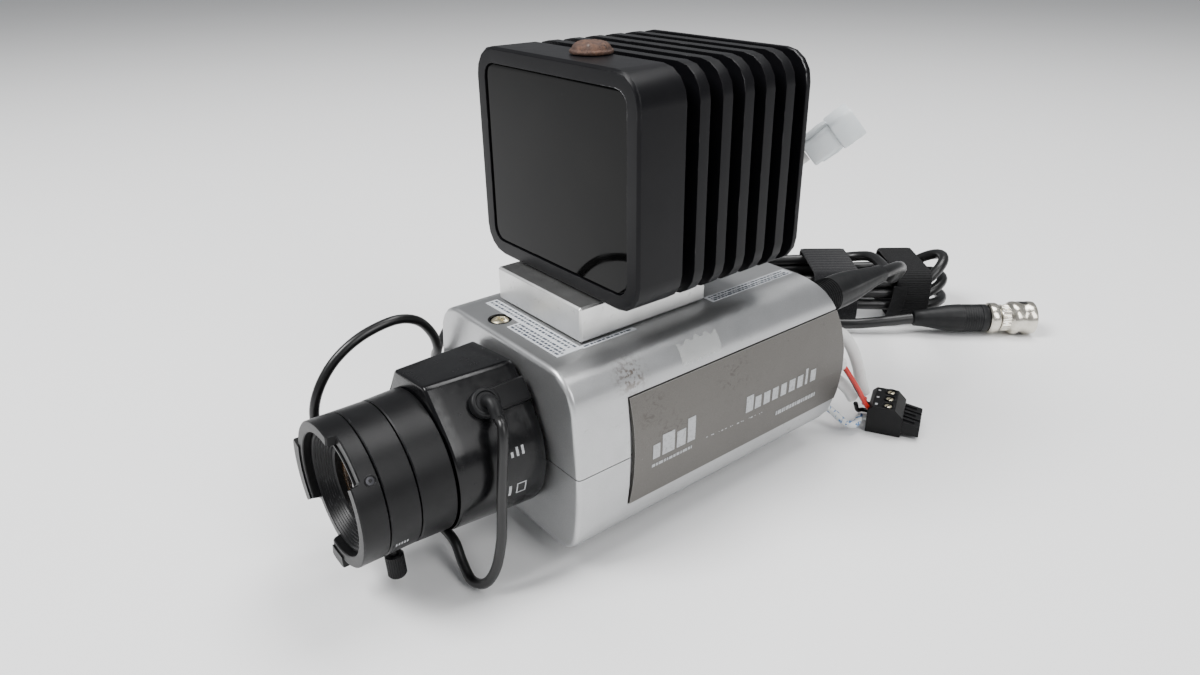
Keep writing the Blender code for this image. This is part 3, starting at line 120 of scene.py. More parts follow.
TAIL_ROUTE = [
    (-40.3, 118.8, 4.4), (-31.0, 126.7, 4.4), (-21.3, 134.2, 4.4), (-12.9, 141.5, 4.8), (-5.7, 149.8, 5.8),
    (2.8, 160.7, 7.3),
]
UPPER_SHEATH_ROUTE = [
    (26.0, 44.0, 38.0), (26.2, 56.0, 38.4), (26.6, 66.0, 38.6), (27.4, 73.0, 36.4), (29.2, 77.4, 30.6),
    (31.0, 80.0, 23.4), (32.2, 81.8, 16.2), (33.0, 83.2, 11.6),
]
LOWER_SHEATH_ROUTE = [
    (22.0, 44.0, 22.0), (22.4, 56.0, 22.4), (24.2, 65.0, 22.2), (27.6, 71.4, 19.6), (30.6, 75.4, 15.6),
    (32.4, 77.6, 11.4),
]
THIRD_SHEATH_ROUTE = [(24.5, 49.3, 31.0), (26.0, 56.0, 31.0), (28.3, 62.5, 30.3), (31.5, 70.4, 27.0)]
UPPER_BLACK_ROUTE = [
    (31.2, 70.0, 27.2), (33.4, 73.2, 21.5), (35.2, 76.4, 15.5), (35.6, 80.0, 10.5), (36.1, 83.1, 8.0),
]
UPPER_RED_ROUTE = [
    (31.9, 69.8, 27.4), (34.4, 72.4, 22.0), (36.4, 75.2, 16.5), (36.8, 78.6, 11.0), (37.2, 80.9, 8.0),
]
RED_ROUTE = [(33.3, 83.8, 9.4), (32.6, 85.0, 6.6)]
BLACK_ROUTE = [(33.2, 78.5, 9.2), (33.0, 80.6, 5.6)]
MARKED_ROUTE = [
    (16.0, 44.0, 16.0), (16.6, 56.0, 15.8), (21.4, 64.6, 13.0), (28.4, 70.0, 8.0), (34.0, 71.8, 4.4),
    (36.6, 74.6, 3.8),
]
IRIS_LEAD = 2.8 * MM  # diameters
COAX = 4.6 * MM
PIGTAIL = 4.0 * MM
SHEATH = 4.2 * MM
CORE = 1.6 * MM
MARKED_LEAD = 2.6 * MM

# The hank of the video lead
HANK_CENTRE = Vector((-32.5, 158.9, 0.0)) * MM
HANK_ANGLE = math.atan2(0.774, 0.634)
HANK_TURNS = 3.4
HANK_TOP, HANK_LOW = 21.1 * MM, 4.3 * MM
END_PLUG = Vector((3.0, 161.0, 7.3)) * MM

# The terminal block on the power wiring
TERMINAL_PITCH = 5.08 * MM
TERMINAL_DEPTH = 12.0 * MM
TERMINAL_HEIGHT = 10.5 * MM
TERMINAL_CENTRE = (40.0 * MM, 88.0 * MM)
TERMINAL_ANGLE = math.atan2(0.47, 0.88)


# ---------------------------------------------------------------- materials

class Surface:
    """A procedural material in the making. Its patterns are in metres, in each object's own frame."""

    def __init__(self, name, colour, roughness, metallic=0.0, **more):
        self.made = bpy.data.materials.new(name)
        self.made.use_nodes = True
        self.tree = self.made.node_tree
        self.shader = self.tree.nodes["Principled BSDF"]
        self.colour = None
        self.flat = (*colour, 1.0)
        self.shader.inputs["Base Color"].default_value = self.flat
        self.shader.inputs["Roughness"].default_value = roughness
        self.shader.inputs["Metallic"].default_value = metallic
        for socket, value in more.items():
            self.shader.inputs[socket.replace("_", " ")].default_value = value
        self.place = self.node("ShaderNodeTexCoord").outputs["Object"]
        self.height = None
        self.rough = None
        self.rough_flat = roughness

    def node(self, kind, **values):
        made = self.tree.nodes.new(kind)
        for key, value in values.items():
            setattr(made, key, value)
        return made

    def wire(self, start, end):
        self.tree.links.new(start, end)

    def scaled(self, stretch):
        mapping = self.node("ShaderNodeMapping")
        mapping.inputs["Scale"].default_value = stretch
        self.wire(self.place, mapping.inputs["Vector"])
        return mapping.outputs["Vector"]

    def near(self, place, reach):
        """1 at a place on the object, falling to 0 a reach away. Both are in millimetres."""
        away = self.node("ShaderNodeVectorMath", operation="DISTANCE")
        self.wire(self.place, away.inputs[0])
        away.inputs[1].default_value = Vector(place) * MM
        return self.ramp(away.outputs["Value"], reach * MM, 0.25 * reach * MM)

    def noise(self, size, detail=3.0, stretch=(1, 1, 1), distortion=0.0):
        """Noise whose features are about the size given, in metres."""
        made = self.node("ShaderNodeTexNoise")
        made.inputs["Scale"].default_value = 1 / size
        made.inputs["Detail"].default_value = detail
        made.inputs["Distortion"].default_value = distortion
        self.wire(self.scaled(stretch), made.inputs["Vector"])
        return made.outputs["Fac"]

    def spots(self, size, stretch=(1, 1, 1)):
        made = self.node("ShaderNodeTexVoronoi")
        made.inputs["Scale"].default_value = 1 / size
        self.wire(self.scaled(stretch), made.inputs["Vector"])
        return made.outputs["Distance"]

    def waves(self, size, direction="Z", distortion=0.0):
        made = self.node("ShaderNodeTexWave", bands_direction=direction)
        made.inputs["Scale"].default_value = 0.05 / size * 2 * math.pi
        made.inputs["Distortion"].default_value = distortion
        self.wire(self.place, made.inputs["Vector"])
        return made.outputs["Fac"]

    def ramp(self, fac, low, high, start=0.0, end=1.0):
        """A number from start to end as fac goes from low to high."""
        made = self.node("ShaderNodeMapRange")
        made.inputs["From Min"].default_value = low
        made.inputs["From Max"].default_value = high
        made.inputs["To Min"].default_value = start
        made.inputs["To Max"].default_value = end
        self.wire(fac, made.inputs["Value"])
        return made.outputs["Result"]

    def math(self, kind, first, second):
        made = self.node("ShaderNodeMath", operation=kind)
        for slot, value in zip(made.inputs, (first, second)):
            if isinstance(value, (int, float)):
                slot.default_value = value
            else:
                self.wire(value, slot)
        return made.outputs["Value"]

    def edges(self, width):
        """1 along the edges of the shape, and 0 away from them."""
        bevel = self.node("ShaderNodeBevel", samples=4)
        bevel.inputs["Radius"].default_value = width
        normal = self.node("ShaderNodeNewGeometry").outputs["Normal"]
        dot = self.node("ShaderNodeVectorMath", operation="DOT_PRODUCT")
        self.wire(bevel.outputs["Normal"], dot.inputs[0])
        self.wire(normal, dot.inputs[1])
        return self.ramp(dot.outputs["Value"], 0.98, 0.86)

    def tint(self, fac, colour):
        """Mixes a colour in where fac is 1."""
        mix = self.node("ShaderNodeMix", data_type="RGBA")
        self.wire(fac, mix.inputs["Factor"])
        if self.colour is None:
            mix.inputs["A"].default_value = self.flat
        else:
            self.wire(self.colour, mix.inputs["A"])
        mix.inputs["B"].default_value = (*colour, 1.0)
        self.colour = mix.outputs["Result"]
        return self

    def mottle(self, size, colour, low=0.4, high=0.75, strength=1.0, detail=4, stretch=(1, 1, 1),
               distortion=0.0):
        """Mixes a colour in over patches of noise, which start where the noise passes low."""
        patches = self.noise(size, detail, stretch, distortion)
        return self.tint(self.ramp(patches, low, high, 0, strength), colour)

    def roughen(self, fac, roughness):
        mix = self.node("ShaderNodeMix", data_type="FLOAT")
        self.wire(fac, mix.inputs["Factor"])
        if self.rough is None:
            mix.inputs["A"].default_value = self.rough_flat
        else:
            self.wire(self.rough, mix.inputs["A"])
        mix.inputs["B"].default_value = roughness
        self.rough = mix.outputs["Result"]
        return self

    def bump(self, height, depth):
        """Adds relief of that depth, in metres."""
        made = self.node("ShaderNodeBump")
        made.inputs["Distance"].default_value = depth
        made.inputs["Strength"].default_value = 1.0
        self.wire(height, made.inputs["Height"])
        if self.height is not None:
            self.wire(self.height, made.inputs["Normal"])
        self.height = made.outputs["Normal"]
        return self

    def done(self):
        if self.colour is not None:
            self.wire(self.colour, self.shader.inputs["Base Color"])
        if self.rough is not None:
            self.wire(self.rough, self.shader.inputs["Roughness"])
        if self.height is not None:
            self.wire(self.height, self.shader.inputs["Normal"])
        return self.made


def silver_paint():
    s = Surface("silver_paint", (0.42, 0.425, 0.43), 0.32, 0.9, Coat_Weight=0.1, Coat_Roughness=0.3)
    s.mottle(0.16 * MM, (0.52, 0.525, 0.53), 0.35, 0.75, detail=2)
    s.mottle(9 * MM, (0.33, 0.33, 0.33), 0.45, 0.8, 0.3)
    s.mottle(2.6 * MM, (0.17, 0.15, 0.13), 0.69, 0.77, 0.35, detail=6, stretch=(1, 0.5, 1), distortion=1.5)
    stain = s.math("MULTIPLY", s.near((33.5, -26.0, 57.5), 7.0),
                   s.ramp(s.noise(1.1 * MM, 6), 0.46, 0.6, 0, 0.75))
    s.tint(stain, (0.10, 0.062, 0.035))
    s.roughen(s.noise(5 * MM, 4), 0.42)
    return s.bump(s.noise(0.22 * MM, 2), 0.012 * MM).done()


def plate_paint():
    s = Surface("plate_paint", (0.098, 0.092, 0.085), 0.34, 0.8, Coat_Weight=0.08, Coat_Roughness=0.35)
    s.mottle(0.18 * MM, (0.16, 0.152, 0.142), 0.35, 0.75, 0.6, detail=2)
    for centre, reach in (((35.0, -21.0, 46.0), 7.0), ((35.0, -13.0, 37.0), 8.0), ((35.0, 12.0, 44.0), 9.0)):
        scuff = s.math("MULTIPLY", s.near(centre, reach),
                       s.ramp(s.noise(1.8 * MM, 6, (1, 0.7, 1), 1.2), 0.52, 0.64))
        s.tint(s.ramp(scuff, 0.0, 1.0, 0, 0.5), (0.05, 0.043, 0.037))
    s.mottle(2.4 * MM, (0.05, 0.045, 0.04), 0.68, 0.77, 0.5, detail=6, stretch=(1, 0.7, 1), distortion=1.0)
    s.mottle(1.1 * MM, (0.42, 0.41, 0.40), 0.74, 0.79, 0.45, detail=5, stretch=(1, 0.3, 1), distortion=2.0)
    # Painted highlight: every edge of the plate is lightened evenly, standing for the light a rounded edge
    # catches.
    s.tint(s.edges(0.22 * MM), (0.36, 0.35, 0.34))
    s.roughen(s.noise(6 * MM, 4), 0.46)
    return s.bump(s.noise(0.25 * MM, 2), 0.01 * MM).done()


def black_anodised():
    s = Surface("black_anodised", (0.003, 0.003, 0.0038), 0.33, 0.0, Specular_IOR_Level=0.15)
    s.mottle(14 * MM, (0.0045, 0.0042, 0.0052), 0.4, 0.7, 0.7, detail=3)
    s.mottle(0.9 * MM, (0.04, 0.04, 0.042), 0.74, 0.8, 0.3, detail=5, stretch=(1, 1, 0.3), distortion=1.0)
    for centre, reach, fill in (((31.0, -25.6, 131.0), 11.0, 0.40), ((33.5, 34.5, 131.5), 7.0, 0.36)):
        rubbed = s.math("MULTIPLY", s.near(centre, reach), s.edges(0.45 * MM))
        s.tint(s.math("MULTIPLY", rubbed, s.ramp(s.noise(1.2 * MM, 5), fill, fill + 0.12)),
               (0.46, 0.46, 0.47))
    worn = s.math("MULTIPLY", s.edges(0.3 * MM), s.ramp(s.noise(6 * MM, 5), 0.55, 0.7, 0, 0.6))
    s.tint(worn, (0.14, 0.14, 0.145))
    s.roughen(s.noise(4 * MM, 4), 0.42)
    return s.bump(s.noise(0.18 * MM, 2), 0.006 * MM).done()


def milled_aluminium():
    s = Surface("milled_aluminium", (0.74, 0.74, 0.73), 0.30, 1.0)
    s.mottle(10 * MM, (0.55, 0.55, 0.54), 0.4, 0.75, 0.6, detail=5)
    s.mottle(2.2 * MM, (0.36, 0.36, 0.35), 0.62, 0.74, 0.5, detail=6, distortion=1.0)
    s.roughen(s.noise(0.8 * MM, 4, (0.12, 0.12, 1)), 0.46)
    return s.bump(s.noise(0.35 * MM, 3, (0.05, 0.05, 1)), 0.016 * MM).done()


def black_plastic():
    s = Surface("black_plastic", (0.004, 0.004, 0.0045), 0.34, 0.0, Specular_IOR_Level=0.2)
    s.mottle(7 * MM, (0.0085, 0.0085, 0.009), 0.4, 0.75, 0.6)
    s.mottle(0.7 * MM, (0.05, 0.05, 0.05), 0.75, 0.8, 0.25, detail=6, stretch=(1, 0.5, 1), distortion=1.5)
    worn = s.math("MULTIPLY", s.edges(0.2 * MM), s.ramp(s.noise(1.6 * MM, 5), 0.54, 0.64, 0, 0.75))
    s.tint(worn, (0.085, 0.088, 0.092))
    s.roughen(s.noise(3 * MM, 4), 0.43)
    return s.bump(s.noise(0.22 * MM, 2), 0.01 * MM).done()


def gloss_plastic():
    s = Surface("lens_case_gloss", (0.003, 0.003, 0.0035), 0.17, 0.0, Specular_IOR_Level=0.26)
    s.mottle(8 * MM, (0.008, 0.008, 0.0085), 0.4, 0.75, 0.5)
    s.roughen(s.ramp(s.noise(2.5 * MM, 5), 0.35, 0.75), 0.3)
    return s.bump(s.noise(0.3 * MM, 2), 0.004 * MM).done()


def black_rubber():
    s = Surface("black_rubber", (0.006, 0.0062, 0.0068), 0.4, 0.0, Specular_IOR_Level=0.24)
    s.mottle(3 * MM, (0.013, 0.013, 0.0135), 0.45, 0.75, 0.6, detail=5)
    s.roughen(s.noise(1.6 * MM, 4), 0.56)
    return s.bump(s.noise(0.3 * MM, 3), 0.02 * MM).done()


def cable_black():
    s = Surface("cable_black", (0.005, 0.005, 0.0053), 0.27, 0.0, Specular_IOR_Level=0.42)
    s.mottle(5 * MM, (0.009, 0.009, 0.009), 0.45, 0.75, 0.6, detail=5)
    s.roughen(s.noise(2.4 * MM, 4), 0.42)
    return s.bump(s.noise(0.9 * MM, 3), 0.02 * MM).done()


def dark_window():
    s = Surface("dark_window", (0.0012, 0.0012, 0.0013), 0.04, 0.0, Specular_IOR_Level=0.11)
    s.mottle(20 * MM, (0.0035, 0.0033, 0.003), 0.4, 0.7, 0.6, detail=3)
    s.tint(s.ramp(s.spots(3.4 * MM), 0.03, 0.015, 0, 0.4), (0.09, 0.09, 0.09))
    s.roughen(s.ramp(s.noise(7 * MM, 5), 0.5, 0.8), 0.09)
    return s.done()


def coated_glass():
    s = Surface("coated_glass", (0.085, 0.045, 0.016), 0.03, 0.0, Transmission_Weight=0.1, IOR=1.52,
                Coat_Weight=0.6, Coat_Roughness=0.02)
    s.mottle(6 * MM, (0.15, 0.092, 0.04), 0.4, 0.7, 0.5, detail=2)
    # Painted shade: the glass is darkened towards its middle, standing for the dark inside of the lens seen
    # through it.
    return s.tint(s.near((0.5, -92.2, 34.8), 9.0), (0.012, 0.008, 0.006)).done()


def circuit_board():
    s = Surface("circuit_board", (0.02, 0.12, 0.05), 0.4, 0.0)
    s.tint(s.ramp(s.spots(1.6 * MM), 0.12, 0.06), (0.55, 0.45, 0.2))
    return s.mottle(3 * MM, (0.03, 0.2, 0.08), 0.5, 0.6, 0.4, detail=3).done()


def bare_metal(name, colour, roughness, dull, worn=0.4):
    s = Surface(name, colour, roughness, 1.0)
    s.mottle(2.2 * MM, dull, 0.45, 0.75, worn, detail=5)
    s.roughen(s.noise(1.2 * MM, 4), min(1.0, roughness + 0.16))
    return s.bump(s.noise(0.25 * MM, 3), 0.008 * MM).done()


def rusty_steel():
    s = Surface("rusty_steel", (0.062, 0.034, 0.025), 0.6, 0.3)
    s.mottle(2.4 * MM, (0.11, 0.055, 0.034), 0.42, 0.66, detail=6, distortion=0.8)
    s.mottle(1.0 * MM, (0.026, 0.018, 0.016), 0.55, 0.72, 0.8, detail=6)
    s.mottle(1.6 * MM, (0.2, 0.16, 0.14), 0.66, 0.78, 0.7)
    s.roughen(s.noise(1 * MM, 4), 0.85)
    return s.bump(s.noise(0.8 * MM, 6), 0.22 * MM).done()


def white_nylon():
    s = Surface("white_nylon", (0.70, 0.74, 0.76), 0.38, 0.0, Subsurface_Weight=0.25,
                Subsurface_Radius=(1.2 * MM, 1.2 * MM, 1.2 * MM), Transmission_Weight=0.12)
    s.mottle(4 * MM, (0.80, 0.81, 0.80), 0.4, 0.7, 0.4, detail=3)
    return s.bump(s.noise(0.5 * MM, 2), 0.01 * MM).done()


def white_sheath():
    s = Surface("white_sheath", (0.66, 0.655, 0.645), 0.36, 0.0, Subsurface_Weight=0.05,
                Subsurface_Radius=(MM, MM, MM))
    s.mottle(3 * MM, (0.50, 0.485, 0.46), 0.5, 0.75, 0.5, detail=5)
    s.roughen(s.noise(1.5 * MM, 4), 0.5)
    return s.bump(s.noise(0.8 * MM, 3), 0.02 * MM).done()


def marked_sheath():
    s = Surface("marked_sheath", (0.68, 0.70, 0.70), 0.36, 0.0)
    blocks = s.math("MULTIPLY", s.ramp(s.noise(1.1 * MM, 2), 0.5, 0.53),
                    s.ramp(s.waves(2.3 * MM, "X"), 0.45, 0.5))
    s.tint(blocks, (0.10, 0.22, 0.45))
    return s.bump(s.noise(0.8 * MM, 3), 0.02 * MM).done()


def red_core():
    s = Surface("red_core", (0.52, 0.022, 0.016), 0.34, 0.0)
    s.mottle(2 * MM, (0.38, 0.015, 0.012), 0.4, 0.7, 0.5, detail=3)
    return s.bump(s.noise(0.5 * MM, 3), 0.01 * MM).done()


def woven_tape():
    s = Surface("hook_and_loop", (0.0065, 0.0065, 0.007), 0.8, 0.0, Specular_IOR_Level=0.2, Sheen_Weight=0.04,
                Sheen_Roughness=0.5)
    s.mottle(0.7 * MM, (0.014, 0.014, 0.0145), 0.5, 0.75, 0.8, detail=5)
    return s.bump(s.noise(0.22 * MM, 4), 0.06 * MM).done()


def fuzzy_tape():
    s = Surface("loop_tape", (0.007, 0.007, 0.008), 0.95, 0.0, Specular_IOR_Level=0.15, Sheen_Weight=0.08,
                Sheen_Roughness=0.6)
    s.mottle(0.5 * MM, (0.022, 0.022, 0.024), 0.5, 0.72, 0.9, detail=6)
    return s.bump(s.noise(0.4 * MM, 6), 0.3 * MM).done()


def print_white():
    s = Surface("print_white", (0.40, 0.41, 0.42), 0.5, 0.0)
    return s.mottle(0.7 * MM, (0.22, 0.22, 0.22), 0.5, 0.7, 0.7, detail=5).done()


def label_paper():
    s = Surface("label_paper", (0.62, 0.64, 0.67), 0.34, 0.0)
    return s.mottle(3 * MM, (0.52, 0.54, 0.57), 0.45, 0.75, 0.5).done()


def print_dark():
    s = Surface("print_dark", (0.05, 0.06, 0.08), 0.5, 0.0)
    return s.mottle(0.6 * MM, (0.16, 0.17, 0.20), 0.5, 0.7, 0.6).done()


def clear_tape():
    s = Surface("clear_tape", (0.66, 0.67, 0.66), 0.25, 0.0, Alpha=0.34)
    return s.mottle(2.5 * MM, (0.58, 0.58, 0.57), 0.5, 0.7, 0.7, detail=5).done()


M = {"silver": silver_paint(), "plate": plate_paint(), "anodised": black_anodised(),
     "milled": milled_aluminium(), "plastic": black_plastic(), "gloss": gloss_plastic(),
     "rubber": black_rubber(), "cable": cable_black(), "window": dark_window(), "glass": coated_glass(),
     "board": circuit_board(), "steel": bare_metal("steel", (0.50, 0.50, 0.50), 0.3, (0.32, 0.31, 0.30)),
     "brass": bare_metal("brass", (0.66, 0.60, 0.44), 0.28, (0.38, 0.32, 0.18)),
     "nickel": bare_metal("nickel", (0.66, 0.63, 0.56), 0.16, (0.42, 0.37, 0.27)),
     "dark_screw": bare_metal("dark_screw", (0.05, 0.05, 0.055), 0.35, (0.09, 0.09, 0.09)),
     "rust": rusty_steel(), "nylon": white_nylon(), "sheath": white_sheath(), "marked": marked_sheath(),
     "red": red_core(), "woven": woven_tape(), "fuzzy": fuzzy_tape(), "print": print_white(),
     "paper": label_paper(), "ink": print_dark(), "tape": clear_tape()}


# ---------------------------------------------------------------- mesh helpers

def show(name, data, body, replaces):
    """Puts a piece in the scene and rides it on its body."""
    made = bpy.data.objects.new(name, data)
    bpy.context.scene.collection.objects.link(made)
    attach(made, body)
    if replaces:
        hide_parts(*replaces)
    return made


def piece(name, bm, surface, body="root", slot=None, replaces=(), sharp=35):
    """Makes a piece from a bmesh in the row frame. Edges sharper than sharp, in degrees, stay sharp."""
    bmesh.ops.recalc_face_normals(bm, faces=bm.faces)
    mesh = bpy.data.meshes.new(name)
    bm.to_mesh(mesh)
    bm.free()
    mesh.materials.append(M[surface])
    mesh.shade_smooth()
    mesh.set_sharp_from_angle(angle=math.radians(sharp))
    return show(name, mesh, body, replaces)


def soften(made, width, segments=2, angle=35):
    """Rounds a piece's edges a little, as every moulded or machined edge is."""
    bevel = made.modifiers.new("edge", "BEVEL")
    bevel.width = width
    bevel.segments = segments
    bevel.limit_method = "ANGLE"
    bevel.angle_limit = math.radians(angle)
    bevel.harden_normals = False
    return made


def add_loft(bm, rings, closed=False, capped=True):
    """Adds a skin through rings of points, as many in each."""
    rows = [[bm.verts.new(point) for point in ring] for ring in rings]
    pairs = list(zip(rows, rows[1:]))
    if closed:
        pairs.append((rows[-1], rows[0]))
    count = len(rows[0])
    for first, second in pairs:
        for i in range(count):
            j = (i + 1) % count
            bm.faces.new((first[i], first[j], second[j], second[i]))
    if capped and not closed:
        bm.faces.new(rows[0])
        bm.faces.new(rows[-1])
    return rows


def turn_frame(origin, direction):
    return Matrix.Translation(origin) @ Vector(direction).to_track_quat("Z", "Y").to_matrix().to_4x4()


def add_turned(bm, profile, place, steps=64, wobble=None):
    """Adds a profile of (radius, height) points turned about Z. wobble(angle, index) scales a radius."""
    rings = []
    for index, (radius, height) in enumerate(profile):
        if radius == 0:
            rings.append([bm.verts.new(place @ Vector((0, 0, height)))])
            continue
        ring = []
        for i in range(steps):
            a = 2 * math.pi * i / steps
            r = radius * (wobble(a, index) if wobble else 1.0)
            ring.append(bm.verts.new(place @ Vector((r * math.cos(a), r * math.sin(a), height))))
        rings.append(ring)
    pairs = list(zip(rings, rings[1:]))
    if profile[0][0] != 0:
        pairs.append((rings[-1], rings[0]))
    for first, second in pairs:
        for i in range(steps):
            j = (i + 1) % steps
            if len(first) == 1 and len(second) == 1:
                break
            if len(first) == 1:
                bm.faces.new((first[0], second[j], second[i]))
            elif len(second) == 1:
                bm.faces.new((first[i], first[j], second[0]))
            else:
                bm.faces.new((first[i], first[j], second[j], second[i]))


def scaled(profile):
    """A profile or an outline from millimetres."""
    return [(x * MM, z * MM) for x, z in profile]


def turned(name, profile, surface, origin, direction, steps=64, wobble=None, **more):
    """A piece turned about a line through the origin."""
    bm = bmesh.new()
    add_turned(bm, profile, turn_frame(origin, direction), steps, wobble)
    return piece(name, bm, surface, **more)


def arc(centre, radius, start, end, steps):
    angles = [start + (end - start) * i / steps for i in range(steps + 1)]
    return [(centre[0] + radius * math.cos(a), centre[1] + radius * math.sin(a)) for a in angles]


def rounded_rectangle(width, height, radius, steps=6):
    outline = []
    x, z = width / 2 - radius, height / 2 - radius
    for quarter, (corner_x, corner_z) in enumerate(((x, z), (-x, z), (-x, -z), (x, -z))):
        start = quarter * math.pi / 2
        outline += arc((corner_x, corner_z), radius, start, start + math.pi / 2, steps)
    return outline


def smooth_route(points, spacing):
    """Points at even spacing along a smooth curve through a route's own points."""
    points = [Vector(p) for p in points]
    ends = [2 * points[0] - points[1], *points, 2 * points[-1] - points[-2]]
    fine = []
    for a, b, c, d in zip(ends, ends[1:], ends[2:], ends[3:]):
        for step in range(24):
            t = step / 24
            square, cube = 2 * a - 5 * b + 4 * c - d, 3 * b - a - 3 * c + d
            fine.append((2 * b + (c - a) * t + square * t**2 + cube * t**3) / 2)
    fine.append(points[-1])
    lengths = [0.0]
    for first, second in zip(fine, fine[1:]):
        lengths.append(lengths[-1] + (second - first).length)
    count = max(2, round(lengths[-1] / spacing))
    route, place = [], 0
    for i in range(count + 1):
        wanted = lengths[-1] * i / count
        while place < len(fine) - 2 and lengths[place + 1] < wanted:
            place += 1
        span = lengths[place + 1] - lengths[place]
        route.append(fine[place].lerp(fine[place + 1], (wanted - lengths[place]) / span))
    return route


def in_mm(points):
    return [Vector(point) * MM for point in points]


def lead(name, points, diameter, surface, replaces=()):
    """A round lead as one open curve through its points."""
    curve = bpy.data.curves.new(name, "CURVE")
    curve.dimensions = "3D"
    curve.bevel_depth = diameter / 2
    curve.bevel_resolution = 6
    curve.use_fill_caps = True
    spline = curve.splines.new("POLY")
    spline.points.add(len(points) - 1)
    for slot_point, point in zip(spline.points, points):
        slot_point.co = (*point, 1.0)
    spline.use_smooth = True
    curve.materials.append(M[surface])
    return show(name, curve, "root", replaces)


# ---------------------------------------------------------------- view, floor and light

def build_camera():
    data = bpy.data.cameras.new("view")
    data.sensor_width = SENSOR
    data.lens = FOCAL_LENGTH
    data.shift_x, data.shift_y = SHIFT
    data.clip_start, data.clip_end = 0.01, 20.0
    made = bpy.data.objects.new("view", data)
    back = -EYE_AHEAD.normalized()
    right = (EYE_RIGHT - back * EYE_RIGHT.dot(back)).normalized()
    up = back.cross(right)
    made.matrix_world = Matrix.Translation(EYE) @ Matrix((right, up, back)).transposed().to_4x4()
    bpy.context.scene.collection.objects.link(made)
    bpy.context.scene.camera = made


def area_light(name, place, target, size, power):
    data = bpy.data.lights.new(name, "AREA")
    data.shape = "RECTANGLE"
    data.size, data.size_y = size
    data.energy = power
    made = bpy.data.objects.new(name, data)
    made.location = place
    made.rotation_mode = "QUATERNION"
    made.rotation_quaternion = (Vector(target) - Vector(place)).to_track_quat("-Z", "Y")
    bpy.context.scene.collection.objects.link(made)


def build_studio():
    """A pale round floor, and soft lights over it."""
    bm = bmesh.new()
    bmesh.ops.create_circle(bm, cap_ends=True, segments=96, radius=4.0)
    mesh = bpy.data.meshes.new("floor")
    bm.to_mesh(mesh)
    bm.free()
    floor_surface = Surface("floor", (0.86, 0.86, 0.86), 0.6)
    mesh.materials.append(floor_surface.tint(floor_surface.noise(0.2, 2), (0.88, 0.88, 0.88)).done())
    floor = bpy.data.objects.new("floor", mesh)
    floor.location.z = -0.05 * MM
    bpy.context.scene.collection.objects.link(floor)
    world = bpy.data.worlds.new("studio")
    world.use_nodes = True
    background = world.node_tree.nodes["Background"]
    background.inputs["Color"].default_value = (0.95, 0.97, 1.0, 1.0)
    background.inputs["Strength"].default_value = 0.34
    bpy.context.scene.world = world
    aim = (0, 0.03, 0.06)
    area_light("key", (-0.25, -0.75, 1.05), aim, (0.5, 0.5), 23)
    area_light("side", (0.95, 0.05, 0.75), aim, (0.4, 0.8), 8)
    area_light("top", (0.0, 0.45, 1.2), aim, (0.8, 0.5), 14)


# ---------------------------------------------------------------- leads

def hank_point(along, across, z):
    cos, sin = math.cos(HANK_ANGLE), math.sin(HANK_ANGLE)
    return HANK_CENTRE + Vector((along * cos + across * sin, along * sin - across * cos, z))


def racetrack(share, half_length, half_width):
    """A point on a round-ended track as (along, across), by the share of a turn. It starts in the
    middle of the far side and heads back towards the camera's end first."""
    straight = half_length - half_width
    run, bend = 2 * straight, math.pi * half_width
    place = (share % 1.0) * 2 * (run + bend)
    if place < straight:
        return -place, -half_width
    place -= straight
    if place < bend:
        a = -math.pi / 2 - place / half_width
        return -straight + half_width * math.cos(a), half_width * math.sin(a)
    place -= bend
    if place < run:
        return -straight + place, half_width
    place -= run
    if place < bend:
        a = math.pi / 2 - place / half_width
        return straight + half_width * math.cos(a), half_width * math.sin(a)
    place -= bend
    return straight - place, -half_width


def hank_turns():
    """The turns in the hank, from where the lead comes in on top to where its tail leaves underneath."""
    points = []
    steps = round(HANK_TURNS * 44)
    for i in range(steps + 1):
        turn = 0.02 + (HANK_TURNS - 0.02) * i / steps
        share = turn / HANK_TURNS
        along, across = racetrack(turn, (42.5 + 3.0 * share) * MM, (11.4 + 2.7 * share) * MM)
        sway = 0.45 * MM * math.sin(along * 55 + turn * 9)
        z = HANK_TOP + (HANK_LOW - HANK_TOP) * share + sway * (1 - share) * min(1, 4 * share)
        lift = 0.9 * (z - 7.5 * MM) * min(1.0, max(0.0, (along - 32 * MM) / (11 * MM)))
        points.append(hank_point(along, across, z + lift))
    return points


def build_video_lead():
    """One lead: from its boot on the camera, into the hank, and out to its free end's boot."""
    turns = hank_turns()
    joined = in_mm(COAX_ROUTE)[:-1] + [hank_point(11.5 * MM, -1.0 * MM, 25.6 * MM),
                                       hank_point(6.5 * MM, -8.0 * MM, 23.4 * MM)]
    way_in = smooth_route(joined + turns[:2], 3 * MM)[:-3]
    way_out = smooth_route(turns[-2:] + in_mm(TAIL_ROUTE)[1:], 3 * MM)
    points = smooth_route(way_in[:-1] + turns[1:-2] + way_out[1:], 2.2 * MM)
    made = lead("video_lead", points, COAX, "cable", ("coax_lead", "coax_hank", "coax_tail"))
    return made, points


